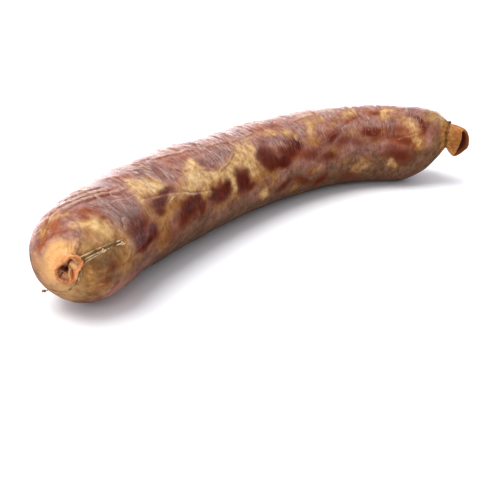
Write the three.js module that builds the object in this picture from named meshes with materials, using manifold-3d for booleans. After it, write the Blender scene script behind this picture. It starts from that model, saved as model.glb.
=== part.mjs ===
// Blood sausage: one whole, gently curved sausage in a natural casing, tied off at both ends.
// Units are millimetres. +Z is up, +X runs from the puckered end to the end with the flared tail,
// and the sausage bows towards +Y. The origin is on the ground, under the middle of the bounding box.
//
// The body is one solid: its skin is a row of rings threaded on a curved middle line. A place on the skin
// is given by `along`, millimetres from the widest ring of the rounded end, and `around`, degrees from
// the top of the ring towards the front (-Y) side, so that 180 is underneath.

import * as THREE from 'three';
import { mergeVertices } from 'three/addons/utils/BufferGeometryUtils.js';
import Module from 'manifold-3d';

const RAD = Math.PI / 180;

// ---------------------------------------------------------------- driving dimensions

// Middle line: the directions it heads in, seen from above, at four equal steps of the body's length
const HEADINGS_DEG = [36, 13.5, -6.5, -84];
const BODY_LENGTH = 371.5; // from the widest ring of the rounded end to the tied neck
const BODY_RADIUS = 32;
const FLAT_DEPTH = 1.2; // how far the soft underside is pressed flat by its own weight

// Rounded end
const DOME_RADIUS = 28.8;
const DOME_LENGTH = 30;
const SWELL_LENGTH = 100; // over which the rounded end's radius grows to the body's
const TIP_TURN_DEG = 10.5; // how far its tip turns away from the body's heading

// Tapered end and its neck
const TAPER_LENGTH = 45;
const TAPER_POWER = 2.6;
const NECK_RADIUS = 9.6;
const NECK_WIDTH = 1.6; // the groove that the twine lies in
const NECK_RISE = 10.5; // how far the middle line climbs over the taper
const NECK_TURN_DEG = 18; // how far the neck turns back from the body's heading
const NECK_TURN_LENGTH = 18; // over which it does

// Tail: the stub of empty casing beyond the neck. It flares upwards and downwards, is pressed together
// from front to back, and is open at its mouth.
const TAIL_LENGTH = 8.5; // to the top of the mouth
const TAIL_RADIUS = 11.9;
const TAIL_FLATNESS = 0.62; // the mouth's width, front to back, as a share of its height
const TAIL_WALL = 2;
const TAIL_SLOPE_DEG = 32; // of its middle line, downwards
const MOUTH_DROOP_DEG = 27; // how far its mouth faces down
const MOUTH_DEPTH = 8;
const MOUTH_SLANT = 3.1; // the mouth's back is longer, and its front shorter, by this much
const MOUTH_SIDE_REACH = 4.6; // both sides reach this much further than the top
const MOUTH_UNDERSIDE_REACH = 5; // so does the underside
const FLARE_POWER = 0.6; // below 1 the tail opens out soon after the neck
const MOUTH_HOLLOW = [[0, 1], [0.6, 0.8], [0.9, 0.4]]; // its inside: [share of the depth, of the radius]

// Pucker: the gathered opening at the tip of the rounded end, raised a little above the middle line.
// Each ring is [height beyond the dome's tip, radius], from the floor of the opening outwards.
const PUCKER_RISE = 3;
const PUCKER_RINGS = [[-4.2, 1.6], [-1.2, 3.2], [2.4, 4.6], [3.4, 5.6], [2.8, 6.8], [1.2, 5.2], [0, 5.2]];
const GROOVE_HEIGHT = 0.6; // of the twine's turn under the lip, beyond the dome's tip
const PUCKER_BASE_RADIUS = 7.8; // where the pucker meets the dome
const PUCKER_FLOOR = -4.8;

// Uneven outlines, as [times round, share of the radius, turn in radians]
const LIP_LOBES = [[3, 0.12, -2.4], [1, 0.1, 2.6], [5, 0.05, 0]];
const TAIL_FOLDS = [[3, 0.04, 2], [7, 0.03, 0]];
const NECK_GATHERS = [[8, 0.031, 1], [5, 0.022, 0]];

// Uneven filling: a slow wave that winds round the body, then broad swellings and hollows, each
// [along, around, height, half length, half width]
const WAVE_HEIGHT = 0.35;
const WAVE_LENGTH = 17; // along, for one radian of the wave
const WAVE_TWIST_LENGTH = 60; // along, for one radian of its turn round the body
const SWELLINGS = [
  [74, -20, 0.7, 24, 26],
  [155, -8, -0.7, 28, 26],
  [225, -15, 0.7, 30, 26],
  [335, 5, -1.6, 11, 24],
  [361, -20, 1.6, 6, 14],
  [12, 138, 0.6, 10, 20],
  [42, 126, -0.8, 12, 20],
  [100, 144, 0.5, 14, 20],
  [358, 168, 1.2, 8, 14],
];

// Folds pressed into the skin: each is a line of [along, around] points
const FOLDS = [
  [[-10, -9], [-4, 10], [9, 20], [25, 27]],
  [[62, -9], [75, 2], [92, 12], [113, 22], [152, 28], [178, 25]],
  [[110, 60], [139, 39]],
  [[68, 58], [121, 84]],
  [[234, 62], [279, 33]],
  [[322, 70], [344, 64], [357, 54]],
  [[60, -118], [118, -84], [170, -96]],
  [[214, -70], [262, -108], [300, -98]],
];
const FOLD_DEPTH = 0.9;
const FOLD_HALF_WIDTH = 3;

// Twine
const TWINE_RADIUS = 0.55;
const TWINE_SIDES = 6;
const CLEARANCE = 0.35; // from the skin to the twine that lies on it
const KNOT_RADIUS = 1.3;
const NECK_CLEARANCE = 0.65; // from the plain neck to its twine, over the neck's gathers
const LOOSE_END_LIFT = 2;
const STRAND_STEP = 2.6; // between the sections of a strand

// How finely the skin is divided
const RING_POINTS = 48;
const BODY_RING_STEP = 7.4;
const DOME_RINGS = 9;
const TAPER_RINGS = 12;
const TAIL_RINGS = 5;

// ---------------------------------------------------------------- middle line

const clamp01 = (value) => Math.min(Math.max(value, 0), 1);
const smooth = (value) => clamp01(value) ** 2 * (3 - 2 * clamp01(value));

// The cubic through the four headings, in radians, at a share 0 to 1 of the body's length
function headingOfBody(share) {
  const step = clamp01(share) * (HEADINGS_DEG.length - 1);
  let heading = 0;
  HEADINGS_DEG.forEach((value, own) => {
    let weight = 1;
    HEADINGS_DEG.forEach((_, other) => {
      if (other !== own) weight *= (step - other) / (own - other);
    });
    heading += value * weight;
  });
  return heading * RAD;
}

const taperShare = (along) => clamp01(1 - (BODY_LENGTH - along) / TAPER_LENGTH);
const neckShare = (along) => smooth(1 - (BODY_LENGTH - along) / NECK_TURN_LENGTH);
const droopAt = (along) => MOUTH_DROOP_DEG * RAD * smooth((along - BODY_LENGTH) / TAIL_LENGTH);

function headingAt(along) {
  const turnAtTip = TIP_TURN_DEG * RAD * smooth(-along / DOME_LENGTH);
  return headingOfBody(along / BODY_LENGTH) + NECK_TURN_DEG * RAD * neckShare(along) + turnAtTip;
}

// Height of the middle line over the ground: level, then climbing to the neck, then sloping down the tail
function heightAt(along) {
  const level = BODY_RADIUS - FLAT_DEPTH;
  const climb = NECK_RISE * taperShare(along) ** 2;
  const beyond = Math.max(along - BODY_LENGTH, 0);
  return level + climb - beyond * Math.sin(TAIL_SLOPE_DEG * RAD);
}

const towards = (heading) => new THREE.Vector2(Math.cos(heading), Math.sin(heading));

// The middle line seen from above, walked in short equal steps from the widest ring to beyond the tail
const WALK_STEP = 0.5;
const walked = [new THREE.Vector2(0, 0)];
for (let along = 0; along < BODY_LENGTH + TAIL_LENGTH * 1.5; along += WALK_STEP) {
  const stride = along < BODY_LENGTH ? WALK_STEP : WALK_STEP * Math.cos(TAIL_SLOPE_DEG * RAD);
  const last = walked[walked.length - 1];
  walked.push(towards(headingAt(along + WALK_STEP / 2)).multiplyScalar(stride).add(last));
}

// In the rounded end the rings swing about the middle of the widest one; elsewhere they follow the walk
function planAt(along) {
  if (along < 0) return towards(headingAt(along)).multiplyScalar(along);
  const steps = along / WALK_STEP;
  const before = Math.floor(steps);
  return walked[before].clone().lerp(walked[before + 1], steps - before);
}

// Centre and directions of the ring at `along`: ahead, towards the front side, and upwards
function ringFrame(along) {
  const plan = planAt(along);
  const heading = headingAt(along);
  const droop = droopAt(along);
  const front = new THREE.Vector3(Math.sin(heading), -Math.cos(heading), 0);
  const ahead = new THREE.Vector3(Math.cos(heading) * Math.cos(droop),
    Math.sin(heading) * Math.cos(droop), -Math.sin(droop));
  const up = front.clone().cross(ahead);
  return { centre: new THREE.Vector3(plan.x, plan.y, heightAt(along)), ahead, front, up };
}

// ---------------------------------------------------------------- skin

// Radius of the plain, even sausage: an ellipse for the rounded end, then the body, then the taper
function plainRadius(along) {
  if (along < 0) return DOME_RADIUS * Math.sqrt(Math.max(1 - (along / DOME_LENGTH) ** 2, 0));
  const unswollen = clamp01(1 - along / SWELL_LENGTH) ** 2;
  const body = BODY_RADIUS - (BODY_RADIUS - DOME_RADIUS) * unswollen;
  return body * (1 - (1 - NECK_RADIUS / BODY_RADIUS) * taperShare(along) ** TAPER_POWER);
}

const turned = (around, from) => ((((around - from + 180) % 360) + 360) % 360) - 180;

// Share of the radius by which an uneven outline stands out at an angle
function unevenness(waves, angle) {
  return waves.reduce((sum, [times, share, turn]) => sum + share * Math.cos(times * angle + turn), 0);
}

// Distance on the skin from a place to a fold's line
function distanceToFold(along, around, fold) {
  let nearest = Infinity;
  const mm = BODY_RADIUS * RAD;
  for (let i = 0; i + 1 < fold.length; i += 1) {
    const start = new THREE.Vector2(fold[i][0], 0);
    const end = new THREE.Vector2(fold[i + 1][0], (fold[i + 1][1] - fold[i][1]) * mm);
    const place = new THREE.Vector2(along, turned(around, fold[i][1]) * mm);
    const line = end.clone().sub(start);
    const share = clamp01(place.clone().sub(start).dot(line) / line.lengthSq());
    nearest = Math.min(nearest, place.distanceTo(start.addScaledVector(line, share)));
  }
  return nearest;
}

// How far the skin stands out from the plain sausage, in millimetres
function relief(along, around) {
  const angle = around * RAD;
  const wave = Math.sin(along / WAVE_LENGTH + 2 * Math.cos(angle));
  let height = WAVE_HEIGHT * wave * Math.cos(2 * angle + along / WAVE_TWIST_LENGTH);
  for (const [a, b, rise, halfLength, halfWidth] of SWELLINGS) {
    const lengthwise = (along - a) / halfLength;
    const crosswise = (turned(around, b) * RAD * plainRadius(along)) / halfWidth;
    height += rise * Math.exp(-(lengthwise ** 2) - crosswise ** 2);
  }
  for (const fold of FOLDS) {
    height -= FOLD_DEPTH * Math.exp(-((distanceToFold(along, around, fold) / FOLD_HALF_WIDTH) ** 2));
  }
  const gathers = NECK_RADIUS * unevenness(NECK_GATHERS, angle) * taperShare(along) ** 5;
  return height * smooth((along + DOME_LENGTH) / DOME_LENGTH) * (1 - taperShare(along) ** 4) + gathers;
}

const tipShare = (along) => clamp01(-along / DOME_LENGTH) ** 4;

// Point of the skin on the ring at `along`, `radius` from its centre and `ahead` of its plane. A ring
// pressed together from front to back has a `flatness` below 1.
function ringPoint(along, around, radius, ahead = 0, flatness = 1) {
  const frame = ringFrame(along);
  const angle = around * RAD;
  const point = frame.centre.clone();
  point.addScaledVector(frame.front, flatness * radius * Math.sin(angle));
  point.addScaledVector(frame.up, radius * Math.cos(angle));
  point.addScaledVector(frame.ahead, ahead);
  point.z += PUCKER_RISE * tipShare(along);
  point.z = Math.max(point.z, 0);
  return point;
}

const skinPoint = (along, around) => ringPoint(along, around, plainRadius(along) + relief(along, around));

// A ring is a function from `around` to a point; the rings run from the pucker's floor to the mouth's floor
const rings = [];

const grooveBottom = PUCKER_RINGS[PUCKER_RINGS.length - 1][1];
PUCKER_RINGS.forEach(([height, radius]) => {
  const lobes = radius > grooveBottom || height > GROOVE_HEIGHT * 2 ? 1 : 0;
  const lobed = (around) => radius * (1 + lobes * unevenness(LIP_LOBES, around * RAD));
  rings.push((around) => ringPoint(-DOME_LENGTH - height, around, lobed(around)));
});

const domeStart = Math.asin(PUCKER_BASE_RADIUS / DOME_RADIUS);
for (let i = 0; i < DOME_RINGS; i += 1) {
  const turn = domeStart + (i / DOME_RINGS) * (Math.PI / 2 - domeStart);
  rings.push((around) => skinPoint(-DOME_LENGTH * Math.cos(turn), around));
}

const straightLength = BODY_LENGTH - TAPER_LENGTH;
const bodyRings = Math.round(straightLength / BODY_RING_STEP);
for (let i = 0; i < bodyRings; i += 1) {
  rings.push((around) => skinPoint((i / bodyRings) * straightLength, around));
}

for (let i = 0; i <= TAPER_RINGS; i += 1) {
  rings.push((around) => skinPoint(straightLength + (i / TAPER_RINGS) * TAPER_LENGTH, around));
}

// How much further than its top the mouth reaches at an angle
function mouthReach(angle) {
  const sides = MOUTH_SIDE_REACH * Math.sin(angle) ** 2 - MOUTH_SLANT * Math.sin(angle);
  return sides + (MOUTH_UNDERSIDE_REACH * (1 - Math.cos(angle))) / 2;
}

// One ring of the tail, `reach` beyond the neck: it grows flatter and more uneven towards the mouth
function tailRing(reach, radius) {
  const share = clamp01(reach / TAIL_LENGTH);
  const flatness = 1 - (1 - TAIL_FLATNESS) * smooth(share);
  return (around) => {
    const angle = around * RAD;
    const folded = radius * (1 + unevenness(TAIL_FOLDS, angle) * share);
    return ringPoint(BODY_LENGTH + reach, around, folded, mouthReach(angle) * share ** 2, flatness);
  };
}

for (let i = 0; i <= TAIL_RINGS; i += 1) {
  const share = i / TAIL_RINGS;
  const flare = NECK_RADIUS + (TAIL_RADIUS - NECK_RADIUS) * share ** FLARE_POWER;
  rings.push(tailRing(NECK_WIDTH + share * (TAIL_LENGTH - NECK_WIDTH), flare));
}
rings.push(tailRing(TAIL_LENGTH + TAIL_WALL / 3, TAIL_RADIUS - TAIL_WALL / 2));
MOUTH_HOLLOW.forEach(([depth, radius]) => {
  rings.push(tailRing(TAIL_LENGTH - MOUTH_DEPTH * depth, (TAIL_RADIUS - TAIL_WALL) * radius));
});

// The closed skin over a row of rings, with a point at each end
function skinOverRings(ringList, firstPoint, lastPoint) {
  const points = [firstPoint];
  for (const ring of ringList) {
    for (let i = 0; i < RING_POINTS; i += 1) points.push(ring((i / RING_POINTS) * 360));
  }
  points.push(lastPoint);
  const index = [];
  const at = (ring, i) => 1 + ring * RING_POINTS + (i % RING_POINTS);
  const last = ringList.length - 1;
  for (let i = 0; i < RING_POINTS; i += 1) {
    index.push(0, at(0, i + 1), at(0, i));
    index.push(points.length - 1, at(last, i), at(last, i + 1));
    for (let ring = 0; ring < last; ring += 1) {
      index.push(at(ring, i), at(ring, i + 1), at(ring + 1, i));
      index.push(at(ring, i + 1), at(ring + 1, i + 1), at(ring + 1, i));
    }
  }
  const geometry = new THREE.BufferGeometry().setFromPoints(points);
  geometry.setIndex(index);
  return geometry;
}

const puckerFloor = ringPoint(-DOME_LENGTH - PUCKER_FLOOR, 0, 0);
const mouthFloor = ringPoint(BODY_LENGTH + TAIL_LENGTH - MOUTH_DEPTH, 0, 0);
const skin = skinOverRings(rings, puckerFloor, mouthFloor);

// ---------------------------------------------------------------- twine

const wasm = await Module();
wasm.setup();

function solidFrom(geometry) {
  const bare = geometry.clone();
  bare.deleteAttribute('normal');
  bare.deleteAttribute('uv');
  const merged = mergeVertices(bare);
  const vertProperties = new Float32Array(merged.attributes.position.array);
  const triVerts = new Uint32Array(merged.index.array);
  return new wasm.Manifold(new wasm.Mesh({ numProp: 3, vertProperties, triVerts }));
}

function geometryFrom(solid) {
  const mesh = solid.getMesh();
  const geometry = new THREE.BufferGeometry();
  geometry.setAttribute('position', new THREE.BufferAttribute(mesh.vertProperties, 3));
  geometry.setIndex(new THREE.BufferAttribute(mesh.triVerts, 1));
  return geometry;
}

const fuse = (geometries) => geometryFrom(geometries.map(solidFrom).reduce((all, next) => all.add(next)));

// Point above the skin, so that twine centred on it clears the skin
function overSkin(along, around, lift) {
  const small = 0.5;
  const lengthwise = skinPoint(along + small, around).sub(skinPoint(along - small, around));
  const crosswise = skinPoint(along, around + small).sub(skinPoint(along, around - small));
  return skinPoint(along, around).addScaledVector(crosswise.cross(lengthwise).normalize(), lift);
}

function strand(points) {
  const section = new THREE.Shape();
  for (let i = 0; i < TWINE_SIDES; i += 1) {
    const angle = (i / TWINE_SIDES) * 2 * Math.PI;
    const corner = [TWINE_RADIUS * Math.cos(angle), TWINE_RADIUS * Math.sin(angle)];
    if (i === 0) section.moveTo(...corner);
    else section.lineTo(...corner);
  }
  const path = new THREE.CatmullRomCurve3(points);
  const steps = Math.round(path.getLength() / STRAND_STEP);
  return new THREE.ExtrudeGeometry(section, { steps, extrudePath: path, bevelEnabled: false });
}

const knot = (centre) => new THREE.IcosahedronGeometry(KNOT_RADIUS, 1).translate(...centre.toArray());

// A turn of twine round the middle line, in the plane of the ring at `along`
function turnOfTwine(along, radius) {
  const { front, up } = ringFrame(along);
  const place = new THREE.Matrix4().makeBasis(front, up, front.clone().cross(up));
  place.setPosition(ringPoint(along, 0, 0));
  return new THREE.TorusGeometry(radius, TWINE_RADIUS, TWINE_SIDES, RING_POINTS / 2).applyMatrix4(place);
}

// End twine: a turn in the groove under the pucker's lip. Two strands run from it over the dome to a knot,
// and one goes on to a second knot. Another strand curls under the dome and stands off it at a small knot.
const lie = TWINE_RADIUS + CLEARANCE;
const grooveRadius = grooveBottom + lie;
const grooveAlong = -DOME_LENGTH - GROOVE_HEIGHT;
const onGroove = (around) => ringPoint(grooveAlong, around, grooveRadius);
const layOn = (route) => route.map(([along, around]) => overSkin(along, around, lie));
const longRoute = layOn([[-27.6, 47], [-26.2, 52], [-24.7, 55], [-22.1, 58], [-17.4, 63], [-10.8, 68]]);
const shortRoute = layOn([[-28, 68], [-26.6, 63], [-25.3, 60], [-22.1, 58]]);
const lowerRoute = layOn([[-28.4, 160], [-27.5, 186], [-26, 198], [-24.4, 206], [-22.9, 213], [-20.2, 223]]);
const midKnot = overSkin(-22.1, 58, KNOT_RADIUS + CLEARANCE);
const farKnot = overSkin(-10.8, 68, KNOT_RADIUS + CLEARANCE);
const looseEnd = overSkin(-17, 228, lie + LOOSE_END_LIFT);
const endTwine = fuse([
  turnOfTwine(grooveAlong, grooveRadius),
  strand([onGroove(36), ...longRoute]),
  strand([onGroove(84), ...shortRoute]),
  strand([onGroove(130), ...lowerRoute, looseEnd]),
  knot(midKnot),
  knot(farKnot),
  knot(looseEnd),
]);

// Neck twine: a turn in the neck's groove, with its knot on top
const neckAlong = BODY_LENGTH + NECK_WIDTH / 2;
const neckTurnRadius = NECK_RADIUS + NECK_CLEARANCE + TWINE_RADIUS;
const neckTwine = fuse([
  turnOfTwine(neckAlong, neckTurnRadius),
  knot(ringPoint(neckAlong, 4, neckTurnRadius + KNOT_RADIUS - TWINE_RADIUS)),
]);

// ---------------------------------------------------------------- assembly

const casingFinish = new THREE.MeshStandardMaterial({ color: 0x7a4a3a, roughness: 0.35, metalness: 0 });
const twineFinish = new THREE.MeshStandardMaterial({ color: 0xa08c70, roughness: 0.85, metalness: 0 });

function piece(name, geometry, material) {
  const mesh = new THREE.Mesh(geometry, material);
  mesh.name = name;
  return mesh;
}

const sausage = new THREE.Group();
sausage.add(piece('sausage', skin, casingFinish));
sausage.add(piece('end_twine', endTwine, twineFinish.clone()));
sausage.add(piece('neck_twine', neckTwine, twineFinish.clone()));

// The origin goes under the middle of the whole thing
const middle = new THREE.Box3().setFromObject(sausage).getCenter(new THREE.Vector3());
sausage.position.set(-middle.x, -middle.y, 0);

export default sausage;
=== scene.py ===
"""A whole blood sausage in natural casing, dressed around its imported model.

The casing is one finely divided skin worked out from the same named sizes as the solid: a row of rings on
a curved middle line. A place on it is given by `along`, millimetres from the widest ring of the rounded
end, and `around`, degrees from the top towards the front. Creases, patches of fat under the casing and the
gathers at both ties are laid out in those two coordinates. The twine is twisted from three plies.
Lengths are in millimetres unless a comment says metres; the meshes are in metres.
"""

from __future__ import annotations

import logging  # noqa: E402
from dataclasses import dataclass, field  # noqa: E402
from enum import Enum  # noqa: E402
from typing import Any, Sequence  # noqa: E402

import bpy  # noqa: E402
import numpy as np  # noqa: E402
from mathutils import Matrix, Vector  # noqa: E402

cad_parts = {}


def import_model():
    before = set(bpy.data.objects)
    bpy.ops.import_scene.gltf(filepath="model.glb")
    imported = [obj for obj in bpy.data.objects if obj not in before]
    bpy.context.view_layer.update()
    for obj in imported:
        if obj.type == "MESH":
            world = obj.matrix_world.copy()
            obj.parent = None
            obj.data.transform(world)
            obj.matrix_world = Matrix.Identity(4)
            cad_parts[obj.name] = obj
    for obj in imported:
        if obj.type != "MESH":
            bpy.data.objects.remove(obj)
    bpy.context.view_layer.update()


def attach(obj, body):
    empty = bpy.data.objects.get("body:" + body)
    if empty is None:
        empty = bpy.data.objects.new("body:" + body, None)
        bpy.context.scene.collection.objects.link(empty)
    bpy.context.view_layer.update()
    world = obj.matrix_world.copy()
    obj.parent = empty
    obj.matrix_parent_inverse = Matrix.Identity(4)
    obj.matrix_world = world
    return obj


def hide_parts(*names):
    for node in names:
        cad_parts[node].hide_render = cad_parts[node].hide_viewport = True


Array = np.ndarray
Route = tuple[tuple[float, float], ...]
Tree = bpy.types.NodeTree
Output = bpy.types.NodeSocket
Colour = str | Output  # a hex colour, or the output of a node

MM = 0.001
NEAR, NEAR_DEG = 0.4, 1.0  # steps, in mm and degrees, that directions on the skin are read over
log = logging.getLogger("blood_sausage")


# ------------------------------------------------------------------ small tools


def linear(hex_colour: str) -> tuple[float, float, float, float]:
    """Turn an sRGB hex colour into a linear one.

    Args:
        hex_colour: six hex digits, with or without a leading hash.

    Returns:
        Red, green, blue and alpha, linear, 0 to 1.
    """
    digits = hex_colour.lstrip("#")
    srgb = [int(digits[i : i + 2], 16) / 255 for i in (0, 2, 4)]
    return tuple(c / 12.92 if c <= 0.04045 else ((c + 0.055) / 1.055) ** 2.4 for c in srgb) + (1.0,)


def smooth(value: Array | float, low: float = 0.0, high: float = 1.0) -> Array:
    """Rise smoothly from 0 at `low` to 1 at `high`: t squared times 3 minus 2 t."""
    t = np.clip((np.asarray(value, float) - low) / (high - low), 0.0, 1.0)
    return t * t * (3.0 - 2.0 * t)


def unit(vectors: Array) -> Array:
    """Scale vectors to length 1 along the last axis."""
    return vectors / np.maximum(np.linalg.norm(vectors, axis=-1, keepdims=True), 1e-9)


def turned(around: Array, start: Array | float) -> Array:
    """Angle in degrees from `start` to `around`, between -180 and 180."""
    return (np.asarray(around, float) - start + 180.0) % 360.0 - 180.0


class LatticeNoise:
    """Smooth noise, 0 to 1, from random values on a cubic lattice that repeats every 32 cells."""

    CELLS = 32

    def __init__(self, seed: int) -> None:
        """Draw the lattice's values from a seeded generator."""
        self.values = np.random.default_rng(seed).random((self.CELLS,) * 3)

    def at(self, places: Array) -> Array:
        """Blend the eight lattice values round each place with smooth weights.

        Args:
            places: any number of places by 3, in cells.

        Returns:
            One value for each place, 0 to 1.
        """
        low = np.floor(places).astype(int)
        share = places - low
        share = share * share * (3.0 - 2.0 * share)
        total = np.zeros(places.shape[:-1])
        for corner in np.ndindex(2, 2, 2):
            weight = np.prod(np.where(np.array(corner) == 1, share, 1.0 - share), axis=-1)
            index = (low + corner) % self.CELLS
            total += weight * self.values[index[..., 0], index[..., 1], index[..., 2]]
        return total

    def layers(self, places: Array, count: int = 3) -> Array:
        """Add octaves, each twice as fine and half as strong as the last.

        Args:
            places: any number of places by 3, in cells.
            count: how many octaves.

        Returns:
            One value for each place, scaled to 0 to 1.
        """
        total, reach = np.zeros(places.shape[:-1]), 0.0
        for octave in range(count):
            total += self.at(places * 2.0**octave + 11.3 * octave) * 0.5**octave
            reach += 0.5**octave
        return total / reach


def add_node(
    tree: Tree,
    kind: str,
    settings: dict[str | int, Any] | None = None,
    links: dict[str | int, Output] | None = None,
) -> bpy.types.Node:
    """Add a node, set its properties and sockets, and link its inputs.

    Args:
        tree: the node tree to add to.
        kind: Blender's name of the node type, without the leading "ShaderNode".
        settings: a node property or an input socket's name or number, and its value.
        links: an input socket's name or number, and the output that feeds it.

    Returns:
        The new node.
    """
    node = tree.nodes.new("ShaderNode" + kind)
    for key, value in (settings or {}).items():
        if isinstance(key, str) and hasattr(node, key):
            setattr(node, key, value)
        else:
            node.inputs[key].default_value = value
    for key, source in (links or {}).items():
        tree.links.new(source, node.inputs[key])
    return node


def new_mesh(name: str, points_mm: Array, faces: list[tuple[int, ...]] | Array) -> bpy.types.Object:
    """Make a smooth-shaded mesh object at the origin.

    Args:
        name: the object's name.
        points_mm: its points.
        faces: the numbers of each face's points, counter-clockwise seen from outside.

    Returns:
        The object, linked to the scene, in metres.
    """
    mesh = bpy.data.meshes.new(name)
    mesh.from_pydata((points_mm * MM).tolist(), [], [tuple(f) for f in faces])
    mesh.polygons.foreach_set("use_smooth", np.ones(len(mesh.polygons), bool))
    mesh.update()
    item = bpy.data.objects.new(name, mesh)
    bpy.context.scene.collection.objects.link(item)
    return item


def dress(piece: bpy.types.Object, slot: str, material: bpy.types.Material, *nodes: str) -> None:
    """Give a piece its material and its body, and hide the nodes that it stands for.

    Args:
        piece: the finished piece.
        slot: not used.
        material: its finish.
        nodes: the nodes that the piece replaces.
    """
    piece.data.materials.append(material)
    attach(piece, "root")
    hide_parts(*nodes)
    log.info("%s: %d vertices, %d faces", piece.name, len(piece.data.vertices), len(piece.data.polygons))


# ------------------------------------------------------------------ shape of the plain sausage


@dataclass(frozen=True)
class MiddleLine:
    """The curved line that the rings are threaded on, seen from above, and its height. Sizes in mm."""

    headings_deg: tuple[float, ...] = (36.0, 13.5, -6.5, -84.0)
    start: tuple[float, float] = (-158.565, -31.001)
    body_length: float = 371.5
    level: float = 30.8
    dome_length: float = 30.0
    tip_turn_deg: float = 10.5
    taper_length: float = 45.0
    neck_rise: float = 10.5
    neck_turn_deg: float = 18.0
    neck_turn_length: float = 18.0
    tail_length: float = 8.5
    tail_slope_deg: float = 32.0
    mouth_droop_deg: float = 27.0
    pucker_rise: float = 3.0
    walk_step: float = 0.5

    def taper_share(self, along: Array) -> Array:
        """0 before the taper, rising to 1 at the neck."""
        return np.clip(1.0 - (self.body_length - along) / self.taper_length, 0.0, 1.0)

    def heading(self, along: Array) -> Array:
        """Direction of the line: the cubic through the four headings, with a turn at the tip and the neck.

        Args:
            along: places along the line.

        Returns:
            The directions in radians.
        """
        count = len(self.headings_deg)
        step = np.clip(along / self.body_length, 0.0, 1.0) * (count - 1)
        total = np.zeros_like(step)
        for own, value in enumerate(self.headings_deg):
            others = [other for other in range(count) if other != own]
            total += value * np.prod([(step - other) / (own - other) for other in others], axis=0)
        total += self.neck_turn_deg * smooth(1.0 - (self.body_length - along) / self.neck_turn_length)
        total += self.tip_turn_deg * smooth(-along / self.dome_length)
        return np.radians(total)

    def plan(self, along: Array) -> tuple[Array, Array]:
        """Place seen from above: the headings walked in short steps; straight lines within the dome.

        Args:
            along: places along the line.

        Returns:
            x and y of each place.
        """
        marks = np.arange(0.0, self.body_length + 2.0 * self.tail_length, self.walk_step)
        middles = marks[:-1] + self.walk_step / 2
        slope = np.cos(np.radians(self.tail_slope_deg))
        stride = self.walk_step * np.where(middles < self.body_length, 1.0, slope)
        heading = self.heading(middles)
        walked = [np.concatenate([[0.0], np.cumsum(f(heading) * stride)]) for f in (np.cos, np.sin)]
        own = self.heading(along)
        x, y = (
            np.where(along < 0, along * f(own), np.interp(along, marks, line))
            for f, line in zip((np.cos, np.sin), walked)
        )
        return x + self.start[0], y + self.start[1]

    def frames(self, along: Array) -> tuple[Array, Array, Array, Array]:
        """Centres of rings and the directions that they are drawn in.

        Args:
            along: places along the line.

        Returns:
            The centres, and unit vectors ahead, to the front side and up.
        """
        along = np.asarray(along, float)
        x, y = self.plan(along)
        heading = self.heading(along)
        droop = np.radians(self.mouth_droop_deg) * smooth((along - self.body_length) / self.tail_length)
        beyond = np.maximum(along - self.body_length, 0.0)
        z = self.level + self.neck_rise * self.taper_share(along) ** 2
        z = z - beyond * np.sin(np.radians(self.tail_slope_deg))
        z = z + self.pucker_rise * np.clip(-along / self.dome_length, 0.0, 1.0) ** 4
        front = np.stack([np.sin(heading), -np.cos(heading), np.zeros_like(heading)], -1)
        ahead = np.stack(
            [np.cos(heading) * np.cos(droop), np.sin(heading) * np.cos(droop), -np.sin(droop)], -1
        )
        return np.stack([x, y, z], -1), ahead, front, np.cross(front, ahead)


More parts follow.
